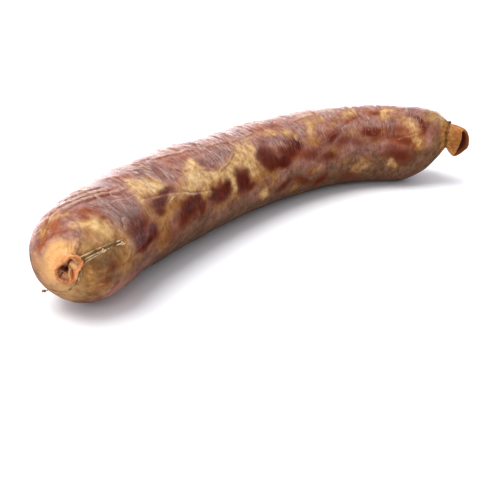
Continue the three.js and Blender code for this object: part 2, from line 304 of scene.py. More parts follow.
@dataclass(frozen=True)
class PlainSkin:
    """The even sausage with its broad swellings: radius as a function of `along` and `around`. In mm."""

    line: MiddleLine = MiddleLine()
    body_radius: float = 32.0
    dome_radius: float = 28.8
    swell_length: float = 100.0
    taper_power: float = 2.6
    neck_radius: float = 9.6
    wave_height: float = 0.35
    wave_length: float = 17.0
    wave_twist_length: float = 60.0
    # [along, around, height, half length, half width]
    swellings: tuple[tuple[float, ...], ...] = (
        (74, -20, 0.7, 24, 26),
        (155, -8, -0.7, 28, 26),
        (225, -15, 0.7, 30, 26),
        (335, 5, -1.6, 11, 24),
        (361, -20, 1.6, 6, 14),
        (12, 138, 0.6, 10, 20),
        (42, 126, -0.8, 12, 20),
        (100, 144, 0.5, 14, 20),
        (358, 168, 1.2, 8, 14),
    )

    def radius(self, along: Array) -> Array:
        """An ellipse for the dome, then the slowly swelling body, then the taper to the neck.

        Args:
            along: places along the line.

        Returns:
            The even radius at each place.
        """
        share = np.minimum(along, 0) / self.line.dome_length
        dome = self.dome_radius * np.sqrt(np.clip(1 - share**2, 0, 1))
        unswollen = np.clip(1.0 - along / self.swell_length, 0.0, 1.0) ** 2
        body = self.body_radius - (self.body_radius - self.dome_radius) * unswollen
        taper = (1.0 - self.neck_radius / self.body_radius) * self.line.taper_share(along) ** self.taper_power
        return np.where(along < 0, dome, body * (1.0 - taper))

    def relief(self, along: Array, around: Array) -> Array:
        """A slow winding wave plus rounded swellings, fading at the tip and the neck.

        Args:
            along: places along the line.
            around: angles from the top towards the front, in degrees.

        Returns:
            The height over the even radius.
        """
        angle = np.radians(around)
        wave = np.sin(along / self.wave_length + 2.0 * np.cos(angle))
        height = self.wave_height * wave * np.cos(2.0 * angle + along / self.wave_twist_length)
        for place, side, rise, half_length, half_width in self.swellings:
            across = np.radians(turned(around, side)) * self.radius(along) / half_width
            height = height + rise * np.exp(-(((along - place) / half_length) ** 2) - across**2)
        fade = smooth((along + self.line.dome_length) / self.line.dome_length)
        return height * fade * (1.0 - self.line.taper_share(along) ** 4)

    def place(self, along: Array, aside: Array, upward: Array, ahead: Array | float = 0.0) -> Array:
        """Points given by their offsets from the middle line, none of them under the floor.

        Args:
            along: places along the line.
            aside: offsets to the front side.
            upward: offsets upwards.
            ahead: offsets ahead of the ring's plane.

        Returns:
            The points.
        """
        centre, forth, front, up = self.line.frames(along)
        offset = front * np.asarray(aside)[..., None] + up * np.asarray(upward)[..., None]
        points = centre + offset + forth * np.broadcast_to(ahead, along.shape)[..., None]
        points[..., 2] = np.maximum(points[..., 2], 0.0)
        return points

    def points(self, along: Array, around: Array) -> Array:
        """Points of the plain skin.

        Args:
            along: places along the line.
            around: angles from the top towards the front, in degrees.

        Returns:
            The points.
        """
        along, around = np.broadcast_arrays(np.asarray(along, float), np.asarray(around, float))
        radius = self.radius(along) + self.relief(along, around)
        return self.place(along, radius * np.sin(np.radians(around)), radius * np.cos(np.radians(around)))

    def axes(self, along: float, around: float) -> tuple[Array, Array, Array, Array]:
        """A place on the skin with its directions, from points a little before, behind and beside it.

        Args:
            along: the place along the line.
            around: its angle in degrees.

        Returns:
            The point, and unit vectors lengthwise, round the girth and outwards.
        """
        at = self.points(np.array([along, along + NEAR, along - NEAR]), np.full(3, around))
        side = self.points(np.full(2, along), np.array([around + NEAR_DEG, around - NEAR_DEG]))
        lengthwise, girth = unit(at[1] - at[2]), unit(side[0] - side[1])
        return at[0], lengthwise, girth, unit(np.cross(girth, lengthwise))


# ------------------------------------------------------------------ creases and patches


@dataclass(frozen=True)
class Crease:
    """A line pressed into the casing, with a raised lip beside it. Sizes in mm, places (along, around)."""

    route: Route
    depth: float = 0.5
    half_width: float = 1.0
    ridge: float = 0.3
    side: int = 1  # 1: the lip is on the side of larger `around`, -1: of smaller
    stretches: int = 6  # between two places of the route
    end_share: float = 0.22  # of the route, over which the crease fades at each end

    def walked(self, skin: PlainSkin) -> tuple[Array, Array, Array]:
        """Walk the route on the skin.

        Args:
            skin: the plain skin that the route lies on.

        Returns:
            Points of the route, their outward directions and their share of the way.
        """
        knots = np.array(self.route, float)
        marks = np.linspace(0, len(knots) - 1, (len(knots) - 1) * self.stretches + 1)
        along, around = (np.interp(marks, np.arange(len(knots)), knots[:, i]) for i in (0, 1))
        points = skin.points(along, around)
        beside = skin.points(along, around + NEAR_DEG) - skin.points(along, around - NEAR_DEG)
        before = skin.points(along + NEAR, around) - skin.points(along - NEAR, around)
        return points, unit(np.cross(beside, before)), marks / marks[-1]

    def press(self, skin: PlainSkin, places: Array) -> tuple[Array, Array, Array]:
        """How far the crease moves each place outwards, and how much painted shade it lays in the groove and
        painted highlight on the lip.

        The distance is to the nearest stretch of the route, with a sign for the side. The groove is a bell
        of that distance, and the lip another bell beside it. Both fade out at the ends of the route.

        Args:
            skin: the plain skin that the route lies on.
            places: the points to move, any number by 3.

        Returns:
            The height in mm, the groove's painted shade and the lip's painted highlight, 0 to 1, for each place.
        """
        route, outward, share = self.walked(skin)
        reach = 5.0 * self.half_width
        near = np.all((places > route.min(0) - reach) & (places < route.max(0) + reach), axis=-1)
        height, dark, pale = np.zeros((3, len(places)))
        if not near.any():
            return height, dark, pale
        own = places[near]
        best, signed, position = (np.full(len(own), fill) for fill in (1e9, 1e9, 0.0))  # 1e9: far off
        for start, end, normal, s0, s1 in zip(route[:-1], route[1:], outward, share[:-1], share[1:]):
            line = end - start
            t = np.clip((own - start) @ line / max(line @ line, 1e-9), 0.0, 1.0)
            offset = own - start - t[:, None] * line
            distance = np.linalg.norm(offset, axis=-1)
            closer = distance < best
            best = np.where(closer, distance, best)
            signed = np.where(closer, offset @ np.cross(unit(line), normal), signed)
            position = np.where(closer, s0 + t * (s1 - s0), position)
        fade = smooth(position, 0.0, self.end_share) * smooth(1.0 - position, 0.0, self.end_share)
        # distances in half widths: from the route, past its ends, and across to the lip's side
        off, across = best / self.half_width, signed * -self.side / self.half_width
        beyond = np.sqrt(off**2 - np.minimum(across**2, off**2))
        fade = fade * np.exp(-(beyond**2))
        lip = np.exp(-(((across - 1.7) / 1.1) ** 2))
        height[near] = fade * (self.ridge * lip - self.depth * np.exp(-(off**2)))
        # painted shade along the groove, painted highlight on the lip
        dark[near] = fade * np.exp(-((off / 0.8) ** 2))
        pale[near] = fade * np.exp(-(((across - 1.5) / 0.75) ** 2))
        return height, dark, pale


class Tone(Enum):
    """What shows through the casing, and painted shade in hollows, crease grooves and on the low flank, and
    painted highlight on the creases' lips. The value is the name of the mesh attribute that says how much.
    """

    FAT = "fat"
    OCHRE = "ochre"
    MAROON = "maroon"
    MAUVE = "mauve"
    RUST = "rust"
    OLIVE = "olive"
    BROWN = "brown"
    PEACH = "peach"
    LIP = "lip"
    HOLLOW_SHADE = "hollow"
    CREASE = "crease"
    RIDGE_HIGHLIGHT = "ridge"


@dataclass(frozen=True)
class Patch:
    """An oval of one tone: (along, around), half length, half width in mm, turn in degrees, strength."""

    tone: Tone
    along: float
    around: float
    half_length: float
    half_width: float
    turn_deg: float = 0.0
    strength: float = 1.0

    def cover(self, skin: PlainSkin, places: Array) -> Array:
        """How much of the tone each place has: 1 within the oval, fading to 0 over its edge.

        The distance is measured in the plane that touches the skin at the oval's middle, with the two
        directions divided by the half sizes, and grows with the depth below that plane.

        Args:
            skin: the plain skin that the oval lies on.
            places: the points to colour, any number by 3.

        Returns:
            The share of the tone, up to the patch's strength.
        """
        middle, lengthwise, girth, outward = skin.axes(self.along, self.around)
        turn = np.radians(self.turn_deg)
        offset = places - middle
        a, b = offset @ lengthwise, offset @ girth
        u = (a * np.cos(turn) + b * np.sin(turn)) / self.half_length
        v = (b * np.cos(turn) - a * np.sin(turn)) / self.half_width
        w = (offset @ outward) / (2.0 * max(self.half_length, self.half_width))
        return self.strength * (1.0 - smooth(np.sqrt(u * u + v * v + w * w), 0.2, 1.85))


# Ovals read off the sausage from the rounded end to the neck, as the fields of Patch after its tone:
# (along, around, half length, half width, turn, strength)
SHOWN_OVALS: dict[Tone, tuple[tuple[float, ...], ...]] = {
    Tone.FAT: (
        (40, 30, 7, 6), (34, 38, 7, 3.5, -20), (50, 40, 8, 5, 15), (44, 36, 8, 6), (40, 22, 3, 4),
        (58, 60, 8, 2.5, -15, 0.6), (70, 58, 9, 3.5, 0, 0.65), (85, 50, 8, 6), (80, 56, 8, 5),
        (92, 44, 6, 7, -30), (98, 34, 4, 3.5), (94, 57, 11, 7, 5), (108, 60, 8, 4.5, 10), (117, 63, 7, 6),
        (124, 74, 3.5, 9), (128, 57, 8, 5, -25), (138, 49, 8, 5, -28), (147, 50, 9, 9),
        (152, 61, 7, 8, 0, 0.85), (-22, 40, 3, 5, 0, 0.45), (151, 72, 9, 5, 0, 0.7), (157, 42, 4, 6),
        (146, 50, 5, 5), (160, 34, 3, 3, 0, 0.5), (92, 71, 5, 4), (188, 30, 6, 3, 10, 0.85),
        (204, 38, 5, 3, 10, 0.85), (211, 49, 3, 3, 0, 0.7), (230, 38, 7, 3.5, -35, 0.85),
        (192, 3, 3, 5, -60, 0.6), (281, 18, 3, 7, 60, 0.75), (315, 27, 3, 7, 20, 0.95),
        (340, 50, 4, 7, -30, 0.75), (346, 58, 6, 3, 0, 0.6), (160, 28, 8, 2.5, 0, 0.5),
        (249, 22, 2.5, 6, 0, 0.6), (322, 22, 6, 2.5, 0, 0.55), (352, 78, 4, 4, 0, 0.75), (-16, 22, 4, 5),
        (-15, 33, 4, 6), (-14, 44, 5, 6, 0, 0.9), (-11, 52, 5, 4, 0, 0.6), (-7, 57, 4, 3, 0, 0.5),
        (-18, -38, 2.5, 2, 0, 0.4), (-13, -12, 2.5, 9, 0, 0.7), (-19, 8, 3, 2, 0, 0.6),
        (268, 28, 6, 2.5, 20, 0.35), (176, 27, 6, 2, 0, 0.35),
    ),
    Tone.OCHRE: (
        (34, 57, 8, 5), (40, 78, 7, 8), (41, 97, 5, 9, 10), (52, 68, 10, 5, -20), (227, 59, 8, 5, 0, 0.9),
        (352, 78, 6, 6, 0, 0.9), (334, 45, 4, 5, 0, 0.7), (62, 66, 8, 4), (154, 80, 10, 4),
        (98, 68, 8, 4), (323, 18, 7, 3, 0, 0.6), (309, 57, 4, 2.5, 0, 0.8), (88, 78, 3, 7),
        (200, 62, 7, 3, 0, 0.6), (238, 32, 5, 3, -30, 0.6), (282, 22, 5, 8, 50, 0.6),
        (316, 30, 4, 9, 20, 0.6), (205, 45, 8, 4, 30, 0.6), (258, 40, 9, 3, -20, 0.6),
        (272, 56, 10, 3, -25, 0.55), (322, 36, 9, 3, 10, 0.6), (300, 70, 10, 4, -10, 0.5),
        (250, 76, 10, 4, -10, 0.6), (330, 62, 8, 3, 0, 0.5), (110, 95, 12, 4, 5, 0.5),
        (125, 90, 5, 5, 0, 0.6), (32, 68, 8, 3, 0, 0.6), (348, 52, 6, 4, 0, 0.6), (10, 58, 4, 2, 0, 0.4),
        (3, 66, 4, 6, 0, 0.7), (146, 84, 8, 4, 0, 0.7), (-5, 74, 8, 8, 0, 0.9), (-18, -38, 4, 3.5),
        (-12, 84, 8, 7, 0, 0.6), (4, 96, 12, 3, 0, 0.5), (-6, 98, 6, 5, 0, 0.5), (30, 96, 8, 4, 0, 0.5),
        (-8, 60, 6, 4, 0, 0.6), (-24, 103, 3, 4, 0, 0.6),
    ),
    Tone.MAROON: (
        (12, 76, 8, 7), (17, 68, 6, 4, -15, 0.9), (27, 82, 5, 6), (19, 89, 12, 3), (8, 68, 5, 6, 0, 0.8),
        (13, 60, 7, 3, 0, 0.7), (45, 57, 9, 3.2, 8), (55, 52, 7, 2.5, 0, 0.9), (41, 64, 5, 3, 20, 0.8),
        (72, 80, 10, 7, 10), (64, 87, 8, 6, 0, 0.8), (78, 71, 8, 4, 10), (84, 84, 6, 5, 0, 0.9),
        (110, 82, 12, 5), (100, 79, 8, 4, 0, 0.9), (117, 78, 4, 6), (134, 77, 7, 8),
        (131, 66, 5, 4, 0, 0.9), (139, 69, 5, 5, 0, 0.8), (140, 86, 9, 3, 0, 0.8), (168, 62, 9, 7),
        (161, 59, 4, 4, 0, 0.8), (174, 71, 9, 6), (205, 57, 8, 5, 5, 0.8), (194, 64, 11, 5, 0, 0.9),
        (183, 74, 12, 4), (306, 27, 5, 3, 0, 0.65), (350, 40, 6, 3.5, 20, 0.85), (356, 56, 3, 5, 0, 0.8),
        (343, 37, 4, 1.5, 0, 0.6), (293, 60, 10, 3, 0, 0.6), (262, 68, 10, 4, -15, 0.55),
        (278, 68, 8, 4, 10, 0.5), (240, 84, 12, 4, 0, 0.6), (220, 76, 10, 5, 0, 0.6),
        (325, 60, 8, 2.5, 0, 0.4), (315, 56, 6, 3, 0, 0.5), (250, 60, 9, 2.5, -15, 0.8), (168, 62, 8, 5),
        (296, 58, 10, 3.5, 0, 0.8), (336, 72, 9, 3, 0, 0.5), (205, 58, 7, 5), (190, 60, 6, 4, 0, 0.8),
        (364, 52, 5, 6, 0, 0.42), (197, 12, 6, 6, 0, 0.42), (240, 66, 10, 3, 0, 0.45),
        (318, 60, 8, 4, 0, 0.5), (300, 66, 9, 4, 0, 0.5), (47, 100, 8, 5, 0, 0.4),
        (197, 50, 5, 3, 0, 0.6), (282, 34, 2, 3, 0, 0.4), (337, 30, 3, 4, 0, 0.4),
        (104, 40, 6, 1.5, -45, 0.4), (63, 22, 4, 8, 0, 0.4), (358, 44, 2.5, 6, 0, 0.6),
        (320, 67, 8, 3, 0, 0.5),
    ),
    Tone.RUST: (
        (108, 66, 8, 4, 20), (112, 68, 5, 3), (197, 11, 9, 8, -20), (60, 88, 14, 6, 0, 0.6),
        (95, 86, 10, 5, 0, 0.6), (125, 84, 10, 5, 0, 0.6), (150, 88, 10, 4, 0, 0.6),
        (30, 92, 8, 5, 0, 0.6), (33, 74, 8, 4, 0, 0.4), (66, 68, 8, 3, 0, 0.5), (300, 25, 6, 6, 0, 0.6),
        (-18.5, -24, 3, 5), (-9, 15, 3, 5), (-18, -26, 3.5, 5), (-21, -48, 3, 7), (210, 8, 5, 4, 0, 0.7),
        (335, 72, 12, 5, -5), (296, 57, 8, 3), (42, 10, 6, 7, 0, 0.8), (88, 22, 16, 4, 4, 0.7),
        (15, 14, 12, 2, 12, 0.9), (185, 20, 10, 4, 0, 0.7), (145, 19, 9, 4, 0, 0.6), (-19, -20, 3.5, 7),
        (-20, -34, 2.5, 6, 0, 0.9), (-22, -12, 2.5, 6, 0, 0.9), (275, 34, 9, 2.5, -20, 0.8),
        (331, 56, 6, 3, 0, 0.9), (24, 64, 5, 5), (148, 8, 4, 8, 0, 0.5), (58, 48, 8, 2, 0, 0.6),
        (104, 8, 10, 5, 0, 0.5), (178, 56, 8, 4, 0, 0.7), (205, 70, 10, 4, 0, 0.8),
        (345, 88, 8, 8, 0, 0.8), (245, 54, 12, 3, 0, 0.7), (305, 62, 8, 3, 0, 0.8),
        (116, 52, 3, 2, 0, 0.7), (353, 66, 6, 2.5, 0, 0.8), (128, 68, 3, 5, 0, 0.6),
    ),
    Tone.MAUVE: (
        (12, 44, 10, 8), (0, 38, 6, 8, 0, 0.9), (5, 22, 9, 5, 10, 0.7), (125, 35, 10, 6, -20),
        (66, 26, 7, 7, 0, 0.8), (186, 42, 9, 4, 0, 0.9), (175, 42, 6, 5, 0, 0.9), (60, 40, 4, 3),
        (15, -5, 14, 6, 0, 0.6), (105, 36, 5, 5, -40, 0.8), (52, 16, 4, 8, 0, 0.7),
        (345, 22, 8, 7, 0, 0.7), (292, 12, 8, 7, 0, 0.4), (362, 52, 7, 8, 0, 0.5),
        (-22, -5, 4, 5, 0, 0.7), (-20, -98, 6, 9), (22, 40, 6, 6, 0, 0.7), (325, 42, 10, 5, 0, 0.5),
        (220, 36, 8, 5, 0, 0.4), (-21, -2, 4, 7, 0, 0.7), (2, 114, 14, 8, 0, 0.6),
        (24, 114, 12, 9, 0, 0.6), (-10, 122, 8, 12, 0, 0.6), (-18, 150, 6, 10, 0, 0.5),
        (262, 25, 14, 6, 0, 0.35), (150, 5, 14, 7, 0, 0.5), (270, 48, 14, 6, 0, 0.6),
        (300, 44, 14, 7, 10, 0.7), (325, 50, 12, 6, 0, 0.6), (262, 62, 14, 7, 0, 0.6),
        (285, 78, 16, 7, 0, 0.7),
    ),
    Tone.OLIVE: (
        (-12, 84, 10, 9), (-20, 76, 8, 8), (-2, 77, 7, 6), (-25, 110, 8, 8), (-22, 42, 8, 8),
        (-27, 120, 6, 7), (360, 14, 6, 9), (367, 30, 4, 9), (367, -20, 4, 9), (366, 90, 4, 6),
        (-18, 60, 5, 6), (168, 79, 8, 4), (-25, 70, 6, 8), (366, 140, 4, 9), (366, -90, 4, 9),
        (368, 60, 3, 8), (354, 20, 4, 7, 0, 0.6), (365, 56, 5, 8, 0, 0.6), (-19, 100, 7, 9),
        (-25, 145, 6, 6, 0, 0.7), (-22, 130, 6, 7, 0, 0.7),
    ),
}

# Smudges of the rounded end's lower half, and the brown along the low flank and underside, which is painted
# shade, in the same way
LOW_OVALS: dict[Tone, tuple[tuple[float, ...], ...]] = {
    Tone.MAROON: (
        (-20.8, 89, 4, 4, 0, 0.3), (-20.5, 90, 2.5, 2, 0, 0.42), (-23.4, 107, 4, 3, 0, 0.26),
        (-11, 34, 3, 2, 0, 0.6), (-23.2, 119, 3, 4, 0, 0.36),
    ),
    Tone.RUST: (
        (-22.5, 55, 3, 3, 0, 0.5), (-23.2, 119, 3, 5, 0, 0.5), (-20, 34, 4, 3, 0, 0.5),
        (-22, 150, 4, 3, 0, 0.4),
    ),
    Tone.BROWN: (
        (-8, 170, 8, 10, 0, 0.4), (-8, 180, 9, 12, 0, 0.5), (-10, -150, 8, 12, 0, 0.5),
        (-19, 170, 5, 9, 0, 0.5), (6, 102, 16, 7, 5, 0.75), (-8, 104, 7, 6, 0, 0.5),
        (34, 104, 14, 7, 0, 0.7), (70, 100, 18, 5, 0, 0.7), (95, 98, 20, 6, 0, 0.7),
        (125, 98, 20, 6, 0, 0.7), (155, 98, 18, 7, 0, 0.6), (28, 62, 8, 5, 0, 0.5),
        (62, 74, 6, 4, 0, 0.5), (14, 50, 9, 4, 0, 0.55), (2, 48, 6, 4, 0, 0.5), (-21.5, 86, 9, 7, 0, 0.9),
        (-20.8, 89, 5, 4.5, 0, 1.0), (-25.7, 80, 4, 4, 0, 0.6), (-23.4, 107, 5, 5, 0, 0.95),
        (-17, 108, 4, 4, 0, 0.8), (-24, 108, 4, 5, 0, 0.6), (-24.2, 34, 4, 6, 0, 0.3),
        (-23.9, 143, 5, 6, 0, 0.6), (-24.5, -170, 5, 9, 0, 0.6), (-17, 98, 5, 5, 0, 0.45),
        (-12, 62, 4, 4, 0, 0.4),
    ),
    Tone.MAUVE: (
        (-16.5, 107, 5, 5, 0, 0.7), (-24.3, -130, 5, 7, 0, 0.6), (-25.3, -80, 4, 5, 0, 0.45),
        (-20, -75, 5, 8, 0, 0.6), (-21, -150, 6, 9, 0, 0.6), (-19, -120, 6, 9, 0, 0.6),
        (-8, 57, 4, 3, 0, 0.5), (-24.4, 104, 4, 4, 0, 0.6), (-22.5, 8, 3, 5, 0, 0.6),
        (-17, -5, 4, 6, 0, 0.7), (-20, 172, 5, 8, 0, 0.5),
    ),
    Tone.FAT: (
        (-28.0, 108, 2.5, 4, 0, 0.42), (-8.5, 84, 4, 3, 0, 0.42), (-1.5, 72, 3, 4, 0, 0.42),
        (-25.5, 136, 1.2, 5, 50, 0.6), (-24.2, 128, 1.0, 4, 50, 0.5), (-14.5, 84, 3, 5, 0, 0.36),
    ),
    Tone.OCHRE: (
        (-28.0, 108, 4, 6, 0, 0.7), (-23.5, 132, 3, 6, 40, 0.6),
    ),
}

# Creases and wrinkles read off the sausage: the route's places (along, around), then depth, half width,
# ridge and side. The last two run over the hidden side
SHOWN_CREASES: tuple[Crease, ...] = (
    Crease(
        ((-16, -22), (-12, -10), (-8, 0), (0, 8), (7, 14), (14, 20), (20, 25), (28, 27), (34, 29)),
        0.5, 1.2, 0.8,
    ),
    Crease(((-10, -20), (-4, -6), (4, 1), (10, 8), (18, 14), (28, 20)), 0.6, 0.9, 0.5),
    Crease(((-2, -22), (6, -10), (14, 0), (24, 8)), 0.5, 0.8, 0.5),
    Crease(((6, 24), (12, 28), (22, 33), (34, 38)), 0.35, 0.8, 0.3, -1),
    Crease(((-10, -22), (-14.6, -6), (-18, 10), (-21, 16), (-25, 21)), 0.4, 1.1, 0.3, -1),
    Crease(((-10, -20), (-15, -30), (-20, -46), (-22, -60)), 0.4, 1.0, 0.25),
    Crease(((6, 46), (2, 48), (-1, 55), (-7, 62)), 0.6, 0.8, 0.45),
    Crease(((4, 52), (1, 57), (-4, 62)), 0.4, 0.6, 0.3),
    Crease(((-22, 92), (0, 91), (31, 93)), 0.3, 1.3, 0.0),
    Crease(((-19, 8), (-22, 13), (-24.5, 17), (-26.4, 22), (-28.2, 31)), 0.35, 0.7, 0.15, -1),
    Crease(((25, 42), (35, 46), (52, 52), (62, 55), (80, 66), (95, 70), (121, 84)), 0.6, 0.9, 0.22, -1),
    Crease(((50, 63), (56, 59), (64, 57)), 0.3, 0.6, 0.5, -1),
    Crease(((68, 4), (76, 9), (84, 12), (92, 14), (103, 17), (113, 21)), 0.3, 1.1, 0.8),
    Crease(((60, -5), (66, 1), (80, 6), (95, 10), (107, 14)), 0.5, 0.9, 0.2, -1),
    Crease(((114, 23), (130, 22), (152, 27), (165, 25), (180, 25)), 0.35, 0.8, 0.3),
    Crease(((110, 61), (118, 56), (128, 52), (136, 45), (141, 38)), 0.7, 0.8, 0.5),
    Crease(((91, 41), (97, 46), (104, 50), (111, 58)), 0.4, 0.7, 0.2),
    Crease(((33, -14), (33, 0), (32, 14), (28, 27)), 0.5, 0.7, 0.4),
    Crease(((38, -6), (36, 8), (34, 22)), 0.4, 0.6, 0.35),
    Crease(((59, -8), (59, 5), (57, 21)), 0.5, 0.7, 0.4),
    Crease(((64, 0), (62, 10), (60, 21)), 0.3, 0.6, 0.3),
    Crease(((48, 2), (53, 10), (57, 19)), 0.4, 0.6, 0.3),
    Crease(((5, 20), (3, 28), (0, 37)), 0.4, 0.7, 0.35),
    Crease(((-2, 12), (-4, 22), (-6, 32)), 0.4, 0.7, 0.35),
    Crease(((14, -22), (10, -8), (8, 3)), 0.4, 0.8, 0.4),
    Crease(((119, -14), (117, 0), (115, 12), (112, 23)), 0.55, 0.9, 0.5),
    Crease(((146, -16), (142, -2), (141, 17)), 0.5, 0.8, 0.4),
    Crease(((159, -22), (153, -8), (151, 5), (148, 22)), 0.6, 0.9, 0.4, -1),
    Crease(((182, -14), (179, 5), (180, 24)), 0.5, 0.8, 0.45),
    Crease(((200, -20), (192, -6), (188, 4)), 0.6, 1.2, 0.4),
    Crease(((219, -10), (217, 7)), 0.5, 0.9, 0.3),
    Crease(((246, -12), (248, 10), (251, 26)), 0.5, 0.9, 0.45),
    Crease(((285, -12), (282, 8), (286, 27)), 0.5, 0.9, 0.45),
    Crease(((311, -12), (311, 5), (314, 19)), 0.6, 1.0, 0.5),
    Crease(((338, -10), (335, 12)), 0.5, 1.2, 0.3),
    Crease(((320, 25), (329, 18), (337, 8)), 0.4, 0.9, 0.5),
    Crease(((351, 42), (355, 52), (357, 62)), 0.5, 0.7, 0.4),
    Crease(((354, 40), (358, 50), (360, 60)), 0.4, 0.6, 0.3),
    Crease(((212, 25), (225, 21), (237, 19), (247, 17)), 0.3, 0.9, 0.5),
    Crease(((228, 67), (240, 60), (252, 53), (264, 46), (276, 38), (290, 31), (298, 28)), 0.75, 0.8, 0.2, -1),
    Crease(((322, 70), (335, 66), (344, 64), (357, 60)), 0.4, 0.9, 0.3, -1),
    Crease(((170, 30), (174, 40), (172, 50)), 0.35, 0.6, 0.3),
    Crease(((178, 34), (180, 44), (177, 54)), 0.3, 0.6, 0.3),
    Crease(((300, 5), (294, 14), (288, 24)), 0.35, 0.7, 0.3),
    Crease(((72, 28), (77, 36), (82, 42)), 0.3, 0.6, 0.3),
    Crease(((60, -118), (90, -100), (118, -88), (150, -86), (178, -92)), 0.6, 1.1, 0.12),
    Crease(((214, -70), (236, -84), (262, -94), (300, -98)), 0.6, 1.1, 0.12),
)


@dataclass
class SkinMap:
    """Where the tones and creases lie: those that show, and seeded ones like them on the other sides."""

    skin: PlainSkin
    seed: int = 7
    warp: float = 3.2  # how far the ovals' outlines wander
    warp_scale: float = 11.0  # over what length they do
    crease_warp: float = 1.0
    crease_warp_scale: float = 7.0
    full_depth: float = 0.6  # of a crease whose painted groove shade is as dark as it gets
    full_ridge: float = 0.5  # of a lip whose painted highlight is as pale as it gets
    patches: list[Patch] = field(default_factory=list)
    creases: list[Crease] = field(default_factory=list)

    def __post_init__(self) -> None:
        """Gather the ovals and creases that show, and draw those of the sides that don't.

        The back takes the front's ovals turned round, each shifted a little. The underside, and the flank
        that was hidden, take seeded ovals, and the back takes seeded wrinkles across it.
        """
        draw = np.random.default_rng(self.seed)
        shown, low = (
            [Patch(tone, *oval) for tone, ovals in table.items() for oval in ovals]
            for table in (SHOWN_OVALS, LOW_OVALS)
        )
        self.patches += shown + low
        self.creases += SHOWN_CREASES
        for own in shown:
            if 0.0 < own.along < 350.0 and own.around > 22.0:
                along = 352.0 - own.along + draw.uniform(-5.0, 5.0)
                around = -22.0 - 1.05 * own.around + draw.uniform(-7.0, 7.0)
                size = (side * draw.uniform(0.75, 1.25) for side in (own.half_length, own.half_width))
                self.patches.append(Patch(own.tone, along, around, *size, own.turn_deg, own.strength))
        # tone, how many, and the ranges of half length and half width
        kinds = (
            (Tone.FAT, 8, (5, 11), (3, 6)),
            (Tone.OCHRE, 10, (4, 10), (3, 7)),
            (Tone.MAROON, 14, (6, 14), (3, 7)),
            (Tone.RUST, 8, (4, 11), (2, 5)),
            (Tone.MAUVE, 10, (6, 13), (4, 8)),
        )
        for tone, count, lengths, widths in kinds:
            for _ in range(count):
                along, around = draw.uniform(0, 355), draw.uniform(-185, -125)
                turn = draw.uniform(-35, 35)
                size = draw.uniform(*lengths), draw.uniform(*widths)
                self.patches.append(Patch(tone, along, around, *size, turn, draw.uniform(0.5, 0.9)))
        for tone, count, lengths, widths in kinds[:3]:
            for _ in range(count // 2):
                along, around = draw.uniform(150, 335), draw.uniform(84, 130)
                size = draw.uniform(*lengths), draw.uniform(*widths)
                turn = draw.uniform(-35, 35)
                self.patches.append(Patch(tone, along, around, *size, turn, draw.uniform(0.4, 0.8)))
        for _ in range(46):
            along, around = draw.uniform(0, 350), draw.uniform(-150, -30)
            reach, lean = draw.uniform(9, 22), draw.uniform(-5, 5)
            route = ((along - lean, around - reach), (along, around), (along + lean, around + reach))
            self.creases.append(Crease(route, draw.uniform(0.25, 0.6), draw.uniform(0.6, 1.1), 0.35))

    def push(self, places: Array, most: float, scale: float, seed: int) -> Array:
        """Displacement of each place, up to about `most` mm, that wanders over `scale` mm."""
        noise = [LatticeNoise(self.seed + seed + axis) for axis in range(3)]
        return 2.0 * most * np.stack([n.layers(places / scale, 3) - 0.5 for n in noise], -1)

    def tones(self, places: Array) -> dict[Tone, Array]:
        """Find what shows at each place, with the ovals' outlines pushed about by noise.

        Args:
            places: the points to colour, any number by 3.

        Returns:
            The share of each tone at each place, the most of all its patches.
        """
        moved = places + self.push(places, self.warp, self.warp_scale, 20)
        moved = moved + self.push(places, 0.5 * self.warp, 0.36 * self.warp_scale, 25)
        cover = {tone: np.zeros(len(places)) for tone in Tone}
        for patch in self.patches:
            cover[patch.tone] = np.maximum(cover[patch.tone], patch.cover(self.skin, moved))
        return cover

    def pressed(self, places: Array) -> tuple[Array, Array, Array]:
        """Press all creases into the skin.

        Args:
            places: the points to move, any number by 3.

        Returns:
            The height of all creases together, their strongest painted shade and painted highlight, at each
            place.
        """
        height, dark, pale = np.zeros((3, len(places)))
        moved = places + self.push(places, self.crease_warp, self.crease_warp_scale, 40)
        for crease in self.creases:
            own, shade, light = crease.press(self.skin, moved)
            height += own
            dark = np.maximum(dark, shade * min(1.0, crease.depth / self.full_depth))
            pale = np.maximum(pale, light * min(1.0, crease.ridge / self.full_ridge))
        return height, dark, pale


# ------------------------------------------------------------------ casing


@dataclass(frozen=True)
class Dent:
    """A bell-shaped dent or lump over an oval of the hollow's floor, seen head-on. Sizes in mm."""

    middle: tuple[float, float]
    half: tuple[float, float]
    turn_deg: float = 0.0
    depth: float = 0.0
    # how much painted shade the dent gets
    dark: float = 0.0

    def cover(self, x: Array, y: Array) -> Array:
        """How much of the dent lies at each place: e to the minus square of the distance in half sizes.

        Args:
            x: places towards the front side.
            y: places upwards.

        Returns:
            1 at the middle, 0.37 one half size away from it.
        """
        turn = np.radians(self.turn_deg)
        a, b = x - self.middle[0], y - self.middle[1]
        u = (a * np.cos(turn) + b * np.sin(turn)) / self.half[0]
        v = (b * np.cos(turn) - a * np.sin(turn)) / self.half[1]
        return np.exp(-(u * u) - v * v)


@dataclass(frozen=True)
class Furrow:
    """A bell-shaped furrow or fold along a route on the hollow's floor, seen head-on. Sizes in mm."""

    route: Route
    half_width: float
    depth: float = 0.0
    # how much painted shade the furrow gets
    dark: float = 0.0

    def cover(self, x: Array, y: Array) -> Array:
        """How much of the furrow lies at each place: a bell of the distance to its straight stretches.

        Args:
            x: places towards the front side.
            y: places upwards.

        Returns:
            1 on the route, 0.37 one half width away from it.
        """
        best = np.full(x.shape, np.inf)
        for (x0, y0), (x1, y1) in zip(self.route[:-1], self.route[1:]):
            dx, dy = x1 - x0, y1 - y0
            t = np.clip(((x - x0) * dx + (y - y0) * dy) / (dx * dx + dy * dy), 0.0, 1.0)
            best = np.minimum(best, np.hypot(x - x0 - t * dx, y - y0 - t * dy))
        return np.exp(-((best / self.half_width) ** 2))


